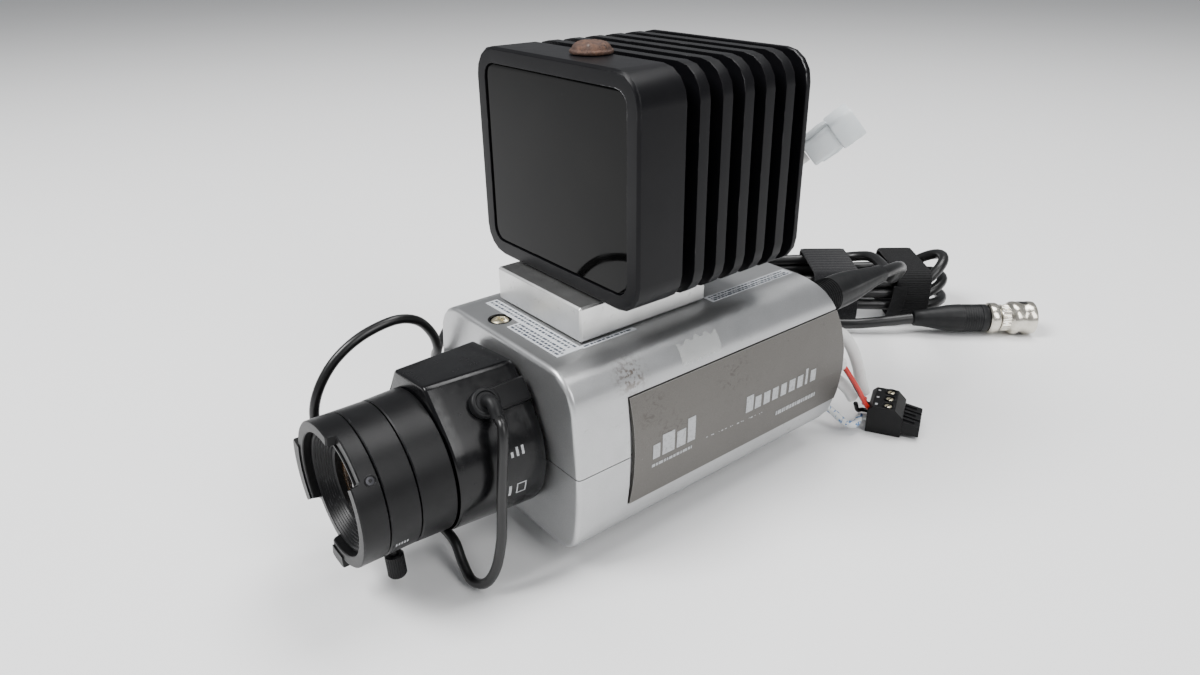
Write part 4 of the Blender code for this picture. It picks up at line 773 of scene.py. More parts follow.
def build_leads():
    pieces = {}
    points = smooth_route(in_mm(IRIS_ROUTE), 1.5 * MM)
    pieces["iris"] = (lead("iris_lead", points, IRIS_LEAD, "cable", ("iris_cable",)), points)
    points = smooth_route(in_mm(PIGTAIL_ROUTE), 1.0 * MM)
    lamp_lead = lead("lamp_lead", points, PIGTAIL, "sheath", ("lamp_pigtail",))
    pieces["pigtail"] = (lamp_lead, points)
    pieces["video"] = build_video_lead()
    for name, node, route in (("power_lead_upper", "white_cable_upper", UPPER_SHEATH_ROUTE),
                              ("power_lead_lower", "white_cable_lower", LOWER_SHEATH_ROUTE)):
        points = smooth_route(in_mm(route), 1.5 * MM)
        pieces[name] = (lead(name, points, SHEATH, "sheath", (node,)), points)
    for name, route, size, surface, slot in (
            ("power_lead_third", THIRD_SHEATH_ROUTE, SHEATH, "sheath", "white_sheath"),
            ("core_red_upper", UPPER_RED_ROUTE, CORE, "red", "red_core"),
            ("core_black_upper", UPPER_BLACK_ROUTE, CORE, "cable", "black_rubber")):
        lead(name, smooth_route(in_mm(route), MM), size, surface)
    for name, node, route, size, surface, slot, place in (
            ("core_red", "red_wire", RED_ROUTE, CORE, "red", "red_core", -1),
            ("core_black", "black_wire", BLACK_ROUTE, CORE, "cable", "black_rubber", 0),
            ("marked_lead", "marked_wire", MARKED_ROUTE, MARKED_LEAD, "marked", "white_sheath", 1)):
        points = smooth_route(in_mm(route) + [terminal_entry(place, 2.5 * MM)], 1.0 * MM)
        points.append(terminal_entry(place))
        pieces[name] = (lead(name, points, size, surface, (node,)), points)
    return pieces


def terminal_point(along, across, z):
    cos, sin = math.cos(TERMINAL_ANGLE), math.sin(TERMINAL_ANGLE)
    return Vector((TERMINAL_CENTRE[0] + along * cos + across * sin,
                   TERMINAL_CENTRE[1] + along * sin - across * cos, z))


def terminal_entry(place, away=GAP):
    return terminal_point(-TERMINAL_DEPTH / 2 - away, place * TERMINAL_PITCH, TERMINAL_HEIGHT * 0.4)


# ---------------------------------------------------------------- lead ends

def boot_profile(length, base, tip, flip=False):
    """A tapered boot as (radius, height), from its thick end, with a few fine ribs near it."""
    ribs_start, rib, count = 3.0 * MM, 1.05 * MM, 8
    profile = [(0, 0), (base - 0.5 * MM, 0), (base, 0.7 * MM), (base, ribs_start)]
    for i in range(count):
        z = ribs_start + i * rib
        profile += [(base - 0.28 * MM, z + 0.2 * MM), (base - 0.28 * MM, z + 0.55 * MM),
                    (base, z + 0.75 * MM)]
    straight = length * 0.42
    profile += [(base, straight), (base - (base - tip) * 0.12, straight + (length - straight) * 0.2),
                (tip + (base - tip) * 0.12, straight + (length - straight) * 0.8), (tip, length - 0.4 * MM),
                (tip - 0.4 * MM, length), (0, length)]
    if flip:
        profile = [(radius, length - height) for radius, height in reversed(profile)]
    return profile


def boot(name, node, origin, direction, length, base, tip, flip=False):
    """A boot with a long moulded panel along its side."""
    bm = bmesh.new()
    place = turn_frame(origin, direction)
    add_turned(bm, boot_profile(length, base, tip, flip), place, 72)
    for vert in bm.verts:
        local = place.inverted() @ vert.co
        share = local.z / length if not flip else 1 - local.z / length
        turn = math.atan2(local.y, local.x)
        if 0.36 < share < 0.9 and abs(math.cos(turn)) > 0.93:
            pressed = Vector((local.x, local.y, 0)) * 0.93
            vert.co = place @ Vector((pressed.x, pressed.y, local.z))
    return piece(name, bm, "rubber", slot="black_rubber", replaces=(node,), sharp=50)


def knurl(teeth, depth, low, high):
    """A wobble that cuts teeth into the profile's points between two indices."""
    def at(angle, index):
        if not low <= index <= high:
            return 1.0
        return 1.0 - depth * (0.5 + 0.5 * math.cos(teeth * angle))
    return at


def build_video_ends():
    along = hank_point(1, 0, 0) - hank_point(0, 0, 0)
    low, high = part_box("camera_plug_boot")
    jack = Vector((20 * MM, low.y, 48.2 * MM))
    boot("camera_boot", "camera_plug_boot", jack, (0, 1, 0), high.y - low.y, 6 * MM, 3.3 * MM)
    boot("end_boot", "end_plug_boot", END_PLUG, along, 32 * MM, 6 * MM, 3.3 * MM, flip=True)
    start = 32.3 * MM
    collar = [(0, 0), (5.9, 0), (6.5, 0.5), (6.6, 1.2), (6.6, 3.2), (6.2, 4.1), (5.6, 4.5), (3.6, 4.5),
              (3.6, 16.7), (3.3, 17), (1.9, 17), (1.9, 9), (0.45, 9), (0.45, 15.5), (0, 15.8)]
    turned("end_body", [(x * MM, start + z * MM) for x, z in collar], "nickel", END_PLUG, along, 64,
           slot="nickel", replaces=("end_plug_body",))
    place = turn_frame(END_PLUG, along)
    nut = [(3.9, 0), (5.5, 0), (5.75, 0.3), (5.75, 0.5), (5.75, 3.7), (5.75, 3.9), (6.3, 4.4), (6.9, 4.9),
           (7.15, 5.6), (7.2, 6.6), (7.0, 8.2), (6.7, 9.4), (6.7, 10.2), (7.0, 11.2), (7.2, 12.2),
           (7.2, 13.6), (7.0, 14.6), (6.3, 15.0), (5.1, 15.0), (5.1, 4.0), (3.9, 4.0)]
    bm = bmesh.new()
    add_turned(bm, [(x * MM, start + (4.8 + z) * MM) for x, z in nut], place, 192, knurl(44, 0.05, 3, 4))
    piece("end_nut", bm, "nickel", "end_plug_nut", "nickel", ("end_plug_nut",), sharp=28)
    # Painted shade: thin dark strips standing just proud of the nut stand for the shadowed bayonet slots,
    # which are not cut into it.
    bm = bmesh.new()
    for turn in (0.6, 0.6 + math.pi):
        rows = []
        for i in range(13):
            share = i / 12
            angle = turn + 1.1 * share
            height = start + (4.8 + 7.0 + 4.6 * share) * MM
            out = Vector((math.cos(angle), math.sin(angle), 0))
            middle = out * 6.72 * MM + Vector((0, 0, height))
            rows.append([place @ (middle + out * lift * MM + Vector((0, 0, wide * MM)))
                         for wide, lift in ((-0.9, -0.3), (-0.9, 0.36), (0.9, 0.36), (0.9, -0.3))])
        add_loft(bm, rows)
    piece("end_slot_shade", bm, "dark_screw", "end_plug_nut", "nickel")
    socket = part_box("camera_plug_nut")[0].y
    nut = [(5.1, 0), (6.4, 0), (7.1, 0.4), (7.2, 0.8), (7.2, 1.0), (7.2, 8.0), (7.2, 8.2), (6.6, 9.0),
           (6.2, 9.4), (6.2, 11.2), (5.9, 11.5), (3.3, 11.5), (3.3, 9.5), (5.1, 9.5)]
    bm = bmesh.new()
    add_turned(bm, scaled(nut), turn_frame(Vector((jack.x, socket, jack.z)), (0, 1, 0)), 192,
               knurl(48, 0.045, 4, 5))
    piece("camera_nut", bm, "nickel", "camera_plug_nut", "nickel", ("camera_plug_nut",), sharp=28)


def strap_outline(width, height, corner, step):
    """Points at even steps round a rounded rectangle, with the way out at each."""
    coarse = rounded_rectangle(width, height, corner, 24)
    points = [Vector((x, z)) for x, z in coarse] + [Vector(coarse[0])]
    lengths = [0.0]
    for a, b in zip(points, points[1:]):
        lengths.append(lengths[-1] + (b - a).length)
    count = round(lengths[-1] / step)
    made, place = [], 0
    for i in range(count):
        wanted = lengths[-1] * i / count
        while lengths[place + 1] < wanted:
            place += 1
        share = (wanted - lengths[place]) / max(1e-12, lengths[place + 1] - lengths[place])
        point = points[place].lerp(points[place + 1], share)
        side = (points[place + 1] - points[place]).normalized()
        made.append((point, Vector((side.y, -side.x))))
    return made


def build_ties():
    """Two straps of hook and loop tape round the hank.

    The front one shows its ribbed back and its second layer."""
    centre = (1.8 + 21.8 / 2) * MM
    for name, node, along, width, surface, rib, depth in (
            ("tie_front", "tie_strap_front", 26.0, 15.0, "woven", 0.86, 0.13),
            ("tie_rear", "tie_strap_rear", -8.0, 20.0, "fuzzy", 3.1, 0.12)):
        thick = 1.35
        outline = strap_outline(33.6, 22.4, 3.6, rib / 6)
        profile = [(-width / 2, 0.0), (-width / 2, thick - 0.5), (-width / 2 + 0.35, thick - 0.12),
                   (-width / 2 + 1.3, thick - 0.12), (-width / 2 + 1.5, thick), (width / 2 - 1.5, thick),
                   (width / 2 - 1.3, thick - 0.12), (width / 2 - 0.35, thick - 0.12),
                   (width / 2, thick - 0.5), (width / 2, 0.0)]
        rings = []
        for i, (point, out) in enumerate(outline):
            swell = depth * math.sin(2 * math.pi * i / 6)
            ring = []
            for shift, rise in profile:
                lift = rise + (swell if rise > thick - 0.3 else 0)
                at = point + out * lift
                ring.append(hank_point((along + shift) * MM, at.x * MM, centre + at.y * MM))
            rings.append(ring)
        bm = bmesh.new()
        add_loft(bm, rings, closed=True)
        piece(name, bm, surface, slot="hook_and_loop", replaces=(node,), sharp=60)
    rows = []
    for i in range(41):
        share = i / 40
        z = 19.0 - 17.2 * share
        across = 18.35 + 0.35 * math.sin(math.pi * share)
        if share > 0.8:
            across += 26.0 * (share - 0.8) ** 2
        left = 18.5 - 1.5 - 3.2 * share * share
        rise = 0.08 * math.sin(i * 2.1)
        rows.append([hank_point(a * MM, (across + c) * MM, z * MM) for a, c in
                     ((left, rise), (left, -1.0), (left + 6.0, -1.0), (left + 6.0, rise))])
    bm = bmesh.new()
    add_loft(bm, rows)
    soften(piece("tie_tail", bm, "woven", slot="hook_and_loop"), 0.3 * MM)


# ---------------------------------------------------------------- surfaces for prints, labels and screws

def add_slab(bm, surface, u_range, v_range, steps, lift):
    """A thin closed slab that follows a surface, where surface(u, v, lift) gives a point."""
    (u_low, u_high), (v_low, v_high) = u_range, v_range
    rows = []
    for i in range(steps[0] + 1):
        u = u_low + (u_high - u_low) * i / steps[0]
        across = [v_low + (v_high - v_low) * j / steps[1] for j in range(steps[1] + 1)]
        rows.append([surface(u, v, lift[0]) for v in across]
                    + [surface(u, v, lift[1]) for v in reversed(across)])
    add_loft(bm, rows)


def add_print_row(bm, surface, u_range, v, height, lift, start=0, scale=1.0):
    """A row of short plain bars, which stands for a line of small print."""
    lengths, gap = (1.3, 0.7, 1.8, 0.9, 0.5, 1.5, 1.0), 0.38
    u, index = u_range[0], start
    while True:
        step = lengths[index % len(lengths)] * scale
        if u + step > u_range[1]:
            return
        add_slab(bm, surface, (u, u + step), (v, v + height), (1, 1), lift)
        u += step + gap * scale
        index += 1


def side_x(z):
    """Half the housing's width at a height."""
    drop = z - (HOUSING_BASE + 28.1 * MM)
    return HOUSING_HALF - drop**2 / (240 * MM)


def plate_surface(u, v, lift):
    """On the right side plate: u along Y and v up, in millimetres."""
    return Vector((side_x(v * MM) + (0.4 + lift) * MM, u * MM, v * MM))


def top_surface(u, v, lift):
    return Vector((u * MM, v * MM, HOUSING_TOP + lift * MM))


def top_surface_along(u, v, lift):
    return top_surface(v, u, lift)


def corner_surface(u, v, lift):
    """On the housing's top right corner: u along Y in millimetres, v the turn up from the side in degrees."""
    centre = Vector((side_x(51.7 * MM) - 11 * MM, u * MM, 51.7 * MM))
    angle = math.radians(v)
    out = (11 + lift) * MM
    return centre + Vector((out * math.cos(angle), 0, out * math.sin(angle)))


def rear_surface(u, v, lift):
    return Vector((u * MM, PANEL_REAR + lift * MM, v * MM))


def lens_point(x, reach, z):
    """A point in the lens's own tilted frame, in millimetres: across, forward of the housing, and up."""
    cos, sin = math.cos(LENS_TILT), math.sin(LENS_TILT)
    return LENS_AXIS + Vector((x * cos - z * sin, -reach, x * sin + z * cos)) * MM


def case_radius(reach):
    """The lens case narrows a little towards its front."""
    share = (reach - CASE_REAR) / (CASE_FRONT - CASE_REAR)
    return CASE_REAR_RADIUS - (CASE_REAR_RADIUS - CASE_FRONT_RADIUS) * share


def case_surface(u, v, lift):
    """On the round side of the lens case: u forward in millimetres, v the turn in degrees."""
    radius = case_radius(u) + lift
    return lens_point(radius * math.cos(math.radians(v)), u, radius * math.sin(math.radians(v)))


def ring_surface(u, v, lift):
    """On the focus and zoom rings: u forward in millimetres, v the turn in degrees."""
    radius = (RING_RADIUS + lift) * MM
    angle = math.radians(v)
    return LENS_AXIS + Vector((radius * math.cos(angle), -u * MM, radius * math.sin(angle)))


def build_prints():
    """Plain bars and blocks where the real thing has its names, marks and labels."""
    bm = bmesh.new()
    for u_range, v_range in (((-21.2, 20.9), (-37.0, -33.0)), ((-3.2, 20.9), (-41.2, -37.0)),
                             ((19.5, 21.2), (-32.9, -14.5))):
        add_slab(bm, top_surface, u_range, v_range, (1, 1), LABEL)
    add_slab(bm, top_surface, (17.6, 21.6), (15.0, 51.0), (1, 1), LABEL)
    piece("top_labels", bm, "paper", slot="white_sheath")
    bm = bmesh.new()
    for row, v in enumerate((-34.4, -35.9)):
        add_print_row(bm, top_surface, (-20.4, 20.2), v, 0.75, LABEL_PRINT, row * 3)
    for row, v in enumerate((-37.9, -39.3, -40.6)):
        add_print_row(bm, top_surface, (-2.4, 20.2), v, 0.75, LABEL_PRINT, row * 2 + 1)
    add_print_row(bm, top_surface_along, (-32.2, -15.0), 20.0, 0.75, LABEL_PRINT, 2)
    for row, v in enumerate((18.3, 19.6, 20.6)):
        add_print_row(bm, top_surface_along, (16.0, 50.0), v, 0.7, LABEL_PRINT, row + 3)
    piece("top_label_print", bm, "ink", slot="black_plastic")
    bm = bmesh.new()
    for u, wide, low, tall in ((-20.4, 2.6, 29.6, 4.6), (-16.9, 4.6, 29.6, 6.6), (-11.4, 3.4, 29.6, 5.4),
                               (-7.2, 3.0, 29.6, 8.0)):
        add_slab(bm, plate_surface, (u, u + wide), (low, low + tall), (1, 3), PRINT)
    add_print_row(bm, plate_surface, (-20.6, -4.4), 26.9, 0.9, PRINT, 0, 0.9)
    for i, (wide, tall) in enumerate(((3.1, 5.6), (2.7, 4.2), (2.8, 4.2), (2.7, 4.2), (2.6, 4.2), (2.8, 4.2),
                                      (2.7, 4.2), (1.1, 5.6), (2.6, 4.2))):
        u = 17.2 + i * 3.95 - (1.4 if i == 8 else 0)
        add_slab(bm, plate_surface, (u, u + wide), (29.9, 29.9 + tall), (1, 3), PRINT)
    add_print_row(bm, plate_surface, (32.0, 52.4), 23.2, 1.5, PRINT, 1, 0.9)
    piece("side_marks", bm, "print", slot="white_sheath")
    bm = bmesh.new()
    for i in range(16):
        u = 0.6 + i * 1.62 + 0.5 * math.sin(i * 2.4)
        add_slab(bm, plate_surface, (u, u + 0.55 + 0.35 * math.sin(i * 1.7)),
                 (28.0 - 0.07 * i + 0.25 * math.sin(i * 3.1), 28.3 - 0.07 * i), (1, 1), SCRATCH)
    piece("side_scratches", bm, "print", slot="white_sheath")
    bm = bmesh.new()
    rows = []
    for i in range(25):
        u = -8.3 + 15.3 * i / 24
        low, high = 13 + 2.2 * math.sin(i * 1.9), 47 + 3.2 * math.sin(i * 1.1 + 1) - 8 * abs(i / 24 - 0.5)
        across = [low + (high - low) * j / 8 for j in range(9)]
        rows.append([corner_surface(u, v, 0.02) for v in across]
                    + [corner_surface(u, v, 0.1) for v in reversed(across)])
    add_loft(bm, rows)
    piece("clear_tape", bm, "tape", slot="white_sheath")
    bm = bmesh.new()
    for u, v, wide, tall in ((7.6, 6.0, 0.7, 6.5), (9.2, 6.0, 0.7, 6.5), (10.8, 6.0, 0.7, 4.0),
                             (7.6, -26.0, 2.8, 0.8), (7.6, -17.0, 2.8, 0.8), (7.6, -26.0, 0.35, 9.8),
                             (10.1, -26.0, 0.35, 9.8), (12.0, -26.0, 0.8, 9.8)):
        add_slab(bm, case_surface, (u, u + wide), (v, v + tall), (1, 4), FINE_PRINT)
    piece("case_marks", bm, "print", slot="white_sheath")
    bm = bmesh.new()
    for i in range(5):
        add_slab(bm, ring_surface, (40.4 + 0.75 * i, 40.75 + 0.75 * i), (-31.0, -27.6), (1, 2), RING_PRINT)
    piece("zoom_marks", bm, "print", "zoom_ring", "white_sheath")
    bm = bmesh.new()
    for u in (-24, -17, -10):
        add_slab(bm, rear_surface, (u, u + 3), (19.5, 20.2), (1, 1), FINE_PRINT)
    add_print_row(bm, rear_surface, (-4.0, 10.0), 51.0, 1.0, FINE_PRINT, 2)
    add_print_row(bm, rear_surface, (-27.0, -8.0), 52.6, 1.0, FINE_PRINT, 0)
    add_print_row(bm, rear_surface, (-4.0, 12.0), 30.0, 0.8, FINE_PRINT, 4)
    piece("rear_marks", bm, "print", slot="white_sheath")


def cross_screw(name, centre, direction, radius, height, surface, body="root", replaces=(), slot=None,
                slotted=False, skirt=0.6 * MM):
    """A domed screw head with a cross or a slot pressed into it."""
    place = turn_frame(centre, direction)
    bm = bmesh.new()
    rings, steps = 22, 64
    rows = []
    for i in range(1, rings + 1):
        r = radius * i / rings
        row = []
        for j in range(steps):
            a = 2 * math.pi * (j + 0.5) / steps
            x, y = r * math.cos(a), r * math.sin(a)
            z = height * (1 - 0.75 * (i / rings) ** 3)
            arms = [(x, y)] if slotted else [(x, y), (y, x)]
            reach = 2.0 if slotted else 0.66
            for across, along in arms:
                wide = min(1.0, max(0.0, (0.17 * radius - abs(across)) / (0.06 * radius)))
                long = min(1.0, max(0.0, (reach * radius - abs(along)) / (0.12 * radius)))
                z = min(z, height - wide * long * 0.42 * radius)
            row.append(bm.verts.new(place @ Vector((x, y, z))))
        rows.append(row)
    top = bm.verts.new(place @ Vector((0, 0, height - 0.42 * radius)))
    for j in range(steps):
        bm.faces.new((top, rows[0][j], rows[0][(j + 1) % steps]))
    for first, second in zip(rows, rows[1:]):
        for j in range(steps):
            k = (j + 1) % steps
            bm.faces.new((first[j], second[j], second[k], first[k]))
    skirt_row = [bm.verts.new(place @ Vector((radius * math.cos(2 * math.pi * (j + 0.5) / steps),
                                              radius * math.sin(2 * math.pi * (j + 0.5) / steps), -skirt)))
                 for j in range(steps)]
    for j in range(steps):
        k = (j + 1) % steps
        bm.faces.new((rows[-1][j], skirt_row[j], skirt_row[k], rows[-1][k]))
    bm.faces.new(skirt_row)
    return piece(name, bm, surface, body, slot, replaces, sharp=50)


def build_screws():
    low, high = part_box("top_screw")
    x, y = (low.x + high.x) / 2, (low.y + high.y) / 2
    cross_screw("top_screw_head", Vector((x, y, HOUSING_TOP - 0.9 * MM)), (0, 0, 1), 2.8 * MM, 1.3 * MM,
                "brass", slot="brass", replaces=("top_screw",))
    turned("top_screw_seat", scaled([(2.95, -1.0), (3.15, -1.0), (3.5, 0.08), (3.05, 0.1)]),
           "plastic", Vector((x, y, HOUSING_TOP)), (0, 0, 1), 48,
           slot="black_plastic")
    for i, (x, z) in enumerate(((-30.5, 79.0), (29.5, 79.0), (-30.5, 129.0), (29.5, 129.0))):
        cross_screw(f"cover_screw_{i}", Vector((x * MM, LAMP_COVER_REAR, z * MM)), (0, 1, 0), 2.4 * MM,
                    1.1 * MM, "dark_screw", slot="steel", skirt=0.4 * MM)
    for i, (x, z) in enumerate(((-28.5, 24.0), (27.5, 31.0))):
        cross_screw(f"panel_screw_{i}", Vector((x * MM, PANEL_REAR, z * MM)), (0, 1, 0), 2.2 * MM, 1.0 * MM,
                    "steel", slot="steel", skirt=0.4 * MM)
    for i, y in enumerate((-16.0, 16.0)):
        cross_screw(f"adapter_screw_{i}", Vector((0, y * MM, 0.9 * MM)), (0, 0, -1), 2.2 * MM, 0.8 * MM,
                    "dark_screw", slot="steel", skirt=0.4 * MM)
    out = Vector((math.cos(GRUB_ANGLE), 0, math.sin(GRUB_ANGLE)))
    seat = LENS_AXIS + out * 19.5 * MM - Vector((0, GRUB_REACH * MM, 0))
    screw = [(0, -0.4), (1.0, -0.4), (1.0, 0.22), (0.45, 0.28), (0.3, -0.1), (0, -0.1)]
    turned("focus_grub", scaled(screw), "dark_screw", seat, out, 32, body="focus_ring", slot="steel")
    rim = [(1.05, -0.3), (1.5, -0.3), (1.5, 0.17), (1.35, 0.26), (1.15, 0.2), (1.05, 0.0)]
    turned("focus_grub_seat", scaled(rim), "plastic", seat, out, 40, body="focus_ring", slot="black_plastic")


# ---------------------------------------------------------------- lens

def case_outline(radius, inset=0.0):
    """The lens case's cross-section in millimetres: a round bottom, sloping sides and a flat top."""
    normal = (math.cos(CASE_SLOPE), math.sin(CASE_SLOPE))
    fillet = CASE_FILLET - inset / 2
    reach_side, reach_top = radius - inset - fillet, CASE_TOP - inset - fillet
    corner_x = (reach_side - reach_top * normal[1]) / normal[0]
    half = arc((corner_x, reach_top), fillet, math.pi / 2, CASE_SLOPE, 10)
    half += arc((0, 0), radius - inset, CASE_SLOPE, -math.pi / 2, 44)
    return half + [(-x, z) for x, z in reversed(half[:-1])]


def case_rings():
    """The case's closed skin: rear hole, outside, rounded front edge, front hole and the hollow inside."""
    def outline(reach, inset=0.0):
        return [lens_point(x, reach, z) for x, z in case_outline(case_radius(reach), inset)]

    def hole(reach, radius):
        made = []
        for x, z in case_outline(21.0):
            scale = radius / math.hypot(x, z)
            made.append(lens_point(x * scale, reach, z * scale))
        return made
    spigot_hole = SPIGOT_RADIUS + 0.3
    hollow_rear, hollow_front = CASE_REAR + 2.0, CASE_FRONT - 2.0
    rings = [hole(CASE_REAR, MOUNT_RADIUS), outline(CASE_REAR, 0.5), outline(CASE_REAR + 0.3, 0.15),
             outline(CASE_REAR + 0.7)]
    rings += [outline(4 + 19 * i / 8) for i in range(9)]
    for step in range(7):
        angle = math.radians(15 * step)
        rings.append(outline(CASE_FRONT - CASE_EDGE * (1 - math.sin(angle)),
                             CASE_EDGE * (1 - math.cos(angle))))
    rings += [hole(CASE_FRONT, 20.6), hole(CASE_FRONT, spigot_hole), hole(hollow_front, spigot_hole)]
    return rings + [outline(hollow_front, CASE_WALL), outline(hollow_rear, CASE_WALL),
                    hole(hollow_rear, MOUNT_RADIUS)]


def slope_point(along, up, out):
    """On the case's right slope, in millimetres: along it from the rear, up the slope, and out of it."""
    radius = case_radius(along) + out
    cos, sin = math.cos(CASE_SLOPE), math.sin(CASE_SLOPE)
    return lens_point(radius * cos - up * sin, along, radius * sin + up * cos)


def build_case():
    bm = bmesh.new()
    add_loft(bm, case_rings(), closed=True)
    piece("lens_shell", bm, "gloss", slot="black_plastic", replaces=("lens_case",), sharp=34)
    bm = bmesh.new()
    outline = rounded_rectangle(6.8, 4.0, 0.8, 5)
    add_loft(bm, [[slope_point(along, GLAND_SHIFT + x, z * shrink) for x, z in outline]
                  for along, shrink in ((1.6, 0.95), (2.0, 1.0), (12.6, 1.0))])
    piece("lens_rib", bm, "plastic", slot="black_plastic", sharp=40)


def build_gland():
    """The boss that the iris lead leaves from, and the elbow of its strain relief."""
    lean = math.atan2(CASE_REAR_RADIUS - CASE_FRONT_RADIUS, CASE_FRONT - CASE_REAR)
    slope = CASE_SLOPE + LENS_TILT
    direction = Vector((math.cos(slope) * math.cos(lean), -math.sin(lean), math.sin(slope) * math.cos(lean)))
    boss = [(0, 0.3), (3.95, 0.3), (3.95, 2.5), (3.8, 2.95), (3.4, 3.2), (2.9, 3.2), (2.6, 2.9), (0, 2.8)]
    turned("iris_boss", scaled(boss), "rubber", slope_point(GLAND_REACH, GLAND_SHIFT, 0.0), direction,
           64, slot="black_rubber", replaces=("iris_gland",), sharp=42)
    elbow = in_mm([(15.3, -60.0, 54.0), (16.7, -60.0, 55.1), (18.3, -60.0, 55.2), (19.8, -60.1, 54.2),
                   (20.8, -60.25, 52.7), (21.3, -60.4, 52.0)])
    lead("iris_elbow", smooth_route(elbow, 0.6 * MM), 3.5 * MM, "rubber")


def lens_turned(name, profile, surface, steps, **more):
    """A piece turned about the lens axis, from a profile of (radius, reach) in millimetres."""
    turned(name, scaled(profile), surface, LENS_AXIS, (0, -1, 0), steps, **more)


def build_barrel():
    """The barrel, with fine ribs down its inside to the glass's seat."""
    seat, sleeve, front = GLASS_RADIUS + 0.3, SLEEVE_RADIUS, SLEEVE_FRONT
    profile = [(8.5, 19), (SPIGOT_RADIUS, 19), (SPIGOT_RADIUS, CASE_FRONT + 0.3), (19.85, CASE_FRONT + 0.3),
               (20.1, CASE_FRONT + 0.55), (19.74, BARREL_STEP - 0.3), (19.5, BARREL_STEP),
               (sleeve, BARREL_STEP), (sleeve, front - 0.2), (sleeve - 0.2, front), (sleeve - 0.8, front),
               (sleeve - 1.0, front - 0.2)]
    ribs = 7
    for i in range(ribs):
        share = i / ribs
        radius, reach = 15.2 - 4.6 * share, 49.9 - 3.3 * share
        profile += [(radius, reach), (radius - 0.12, reach - 0.3), (radius - 0.55, reach - 0.3)]
    profile += [(seat + 0.1, GLASS_FRONT + 0.2), (seat, GLASS_BACK - 0.3), (8.5, GLASS_BACK - 0.3)]
    lens_turned("barrel", profile, "plastic", 128, slot="black_plastic", replaces=("lens_barrel",), sharp=30)


def build_zoom_ring():
    inner, back, front = SLEEVE_RADIUS + 0.3, BARREL_STEP + 0.3, RING_SEAM - 0.15
    profile = [(inner, back), (RING_RADIUS - 0.25, back), (RING_RADIUS, back + 0.25),
               (RING_RADIUS, front - 0.25), (RING_RADIUS - 0.25, front), (inner, front)]
    lens_turned("zoom_sleeve", profile, "plastic", 160, body="zoom_ring", slot="black_plastic",
                replaces=("zoom_ring",), sharp=30)


def build_glass():
    """The crowned front glass, and the stop behind it."""
    rim, crown = 44.3, 1.9
    profile = [(0, GLASS_BACK), (GLASS_RADIUS, GLASS_BACK), (GLASS_RADIUS, rim)]
    for degrees in range(8, 90, 8):
        angle = math.radians(degrees)
        profile.append((GLASS_RADIUS * math.cos(angle), rim + crown * math.sin(angle)))
    profile.append((0, GLASS_FRONT))
    lens_turned("front_glass", profile, "glass", 96, slot="coated_glass", replaces=("front_lens",), sharp=60)
    stop = [(3.2, 40.9), (9.6, 41.0), (9.6, 41.6), (3.0, 41.2)]
    lens_turned("iris_stop", stop, "plastic", 64, slot="black_plastic")


def rim_reach(degrees):
    """How far forward the focus ring's rim is at a turn: it is cut back at each notch."""
    ramp = 0.75
    for start in NOTCHES:
        inside = min(degrees - start, start + NOTCH_TURN - degrees)
        if inside > -ramp:
            return RIM_FRONT - NOTCH_DEPTH * min(1.0, (inside + ramp) / (2 * ramp))
    return RIM_FRONT


def ring_section(section, degrees):
    """A section of (radius, reach) in millimetres, at a turn about the lens axis."""
    angle = math.radians(degrees)
    return [LENS_AXIS + Vector((r * math.cos(angle), -reach, r * math.sin(angle))) * MM
            for r, reach in section]


def build_focus_ring():
    """The front ring, whose rim is cut back twice and carries two lugs."""
    inner, outer, back = SLEEVE_RADIUS + 0.3, RING_RADIUS, RING_SEAM + 0.15
    rings = []
    for i in range(240):
        front = rim_reach(i * 1.5)
        section = [(inner, back), (outer - 0.25, back), (outer, back + 0.25), (outer, front - 0.3),
                   (outer - 0.3, front), (inner + 0.25, front), (inner, front - 0.25)]
        rings.append(ring_section(section, i * 1.5))
    bm = bmesh.new()
    add_loft(bm, rings, closed=True)
    for start, end in LUGS:
        steps = round((end - start) / 1.5)
        rows = []
        for i in range(steps + 1):
            top = LUG_RADIUS - (0.35 if i in (0, steps) else 0.0)
            section = [(outer - 0.6, 49.5), (top - 0.3, 49.5), (top, 49.8), (top, 52.4), (top - 0.3, 52.7),
                       (outer - 1.2, 52.7)]
            rows.append(ring_section(section, start + (end - start) * i / steps))
        add_loft(bm, rows)
    piece("focus_sleeve", bm, "plastic", "focus_ring", "black_plastic", ("focus_ring",), sharp=32)


def build_lock_screw():
    out = Vector((math.cos(LOCK_ANGLE), 0, math.sin(LOCK_ANGLE)))
    centre = LENS_AXIS - Vector((0, LOCK_REACH * MM, 0))
    profile = [(0, 17.0), (1.3, 17.0), (1.3, 23.9), (2.2, 23.9), (2.6, 24.3), (2.6, 24.5), (2.6, 30.0),
               (2.6, 30.2), (2.2, 30.8), (0, 30.8)]
    turned("lock_screw", scaled(profile), "plastic", centre, out, 144, knurl(24, 0.07, 5, 6),
           body="zoom_lock_screw", slot="black_plastic", replaces=("zoom_lock_screw",), sharp=30)


# ---------------------------------------------------------------- lamp and wiring

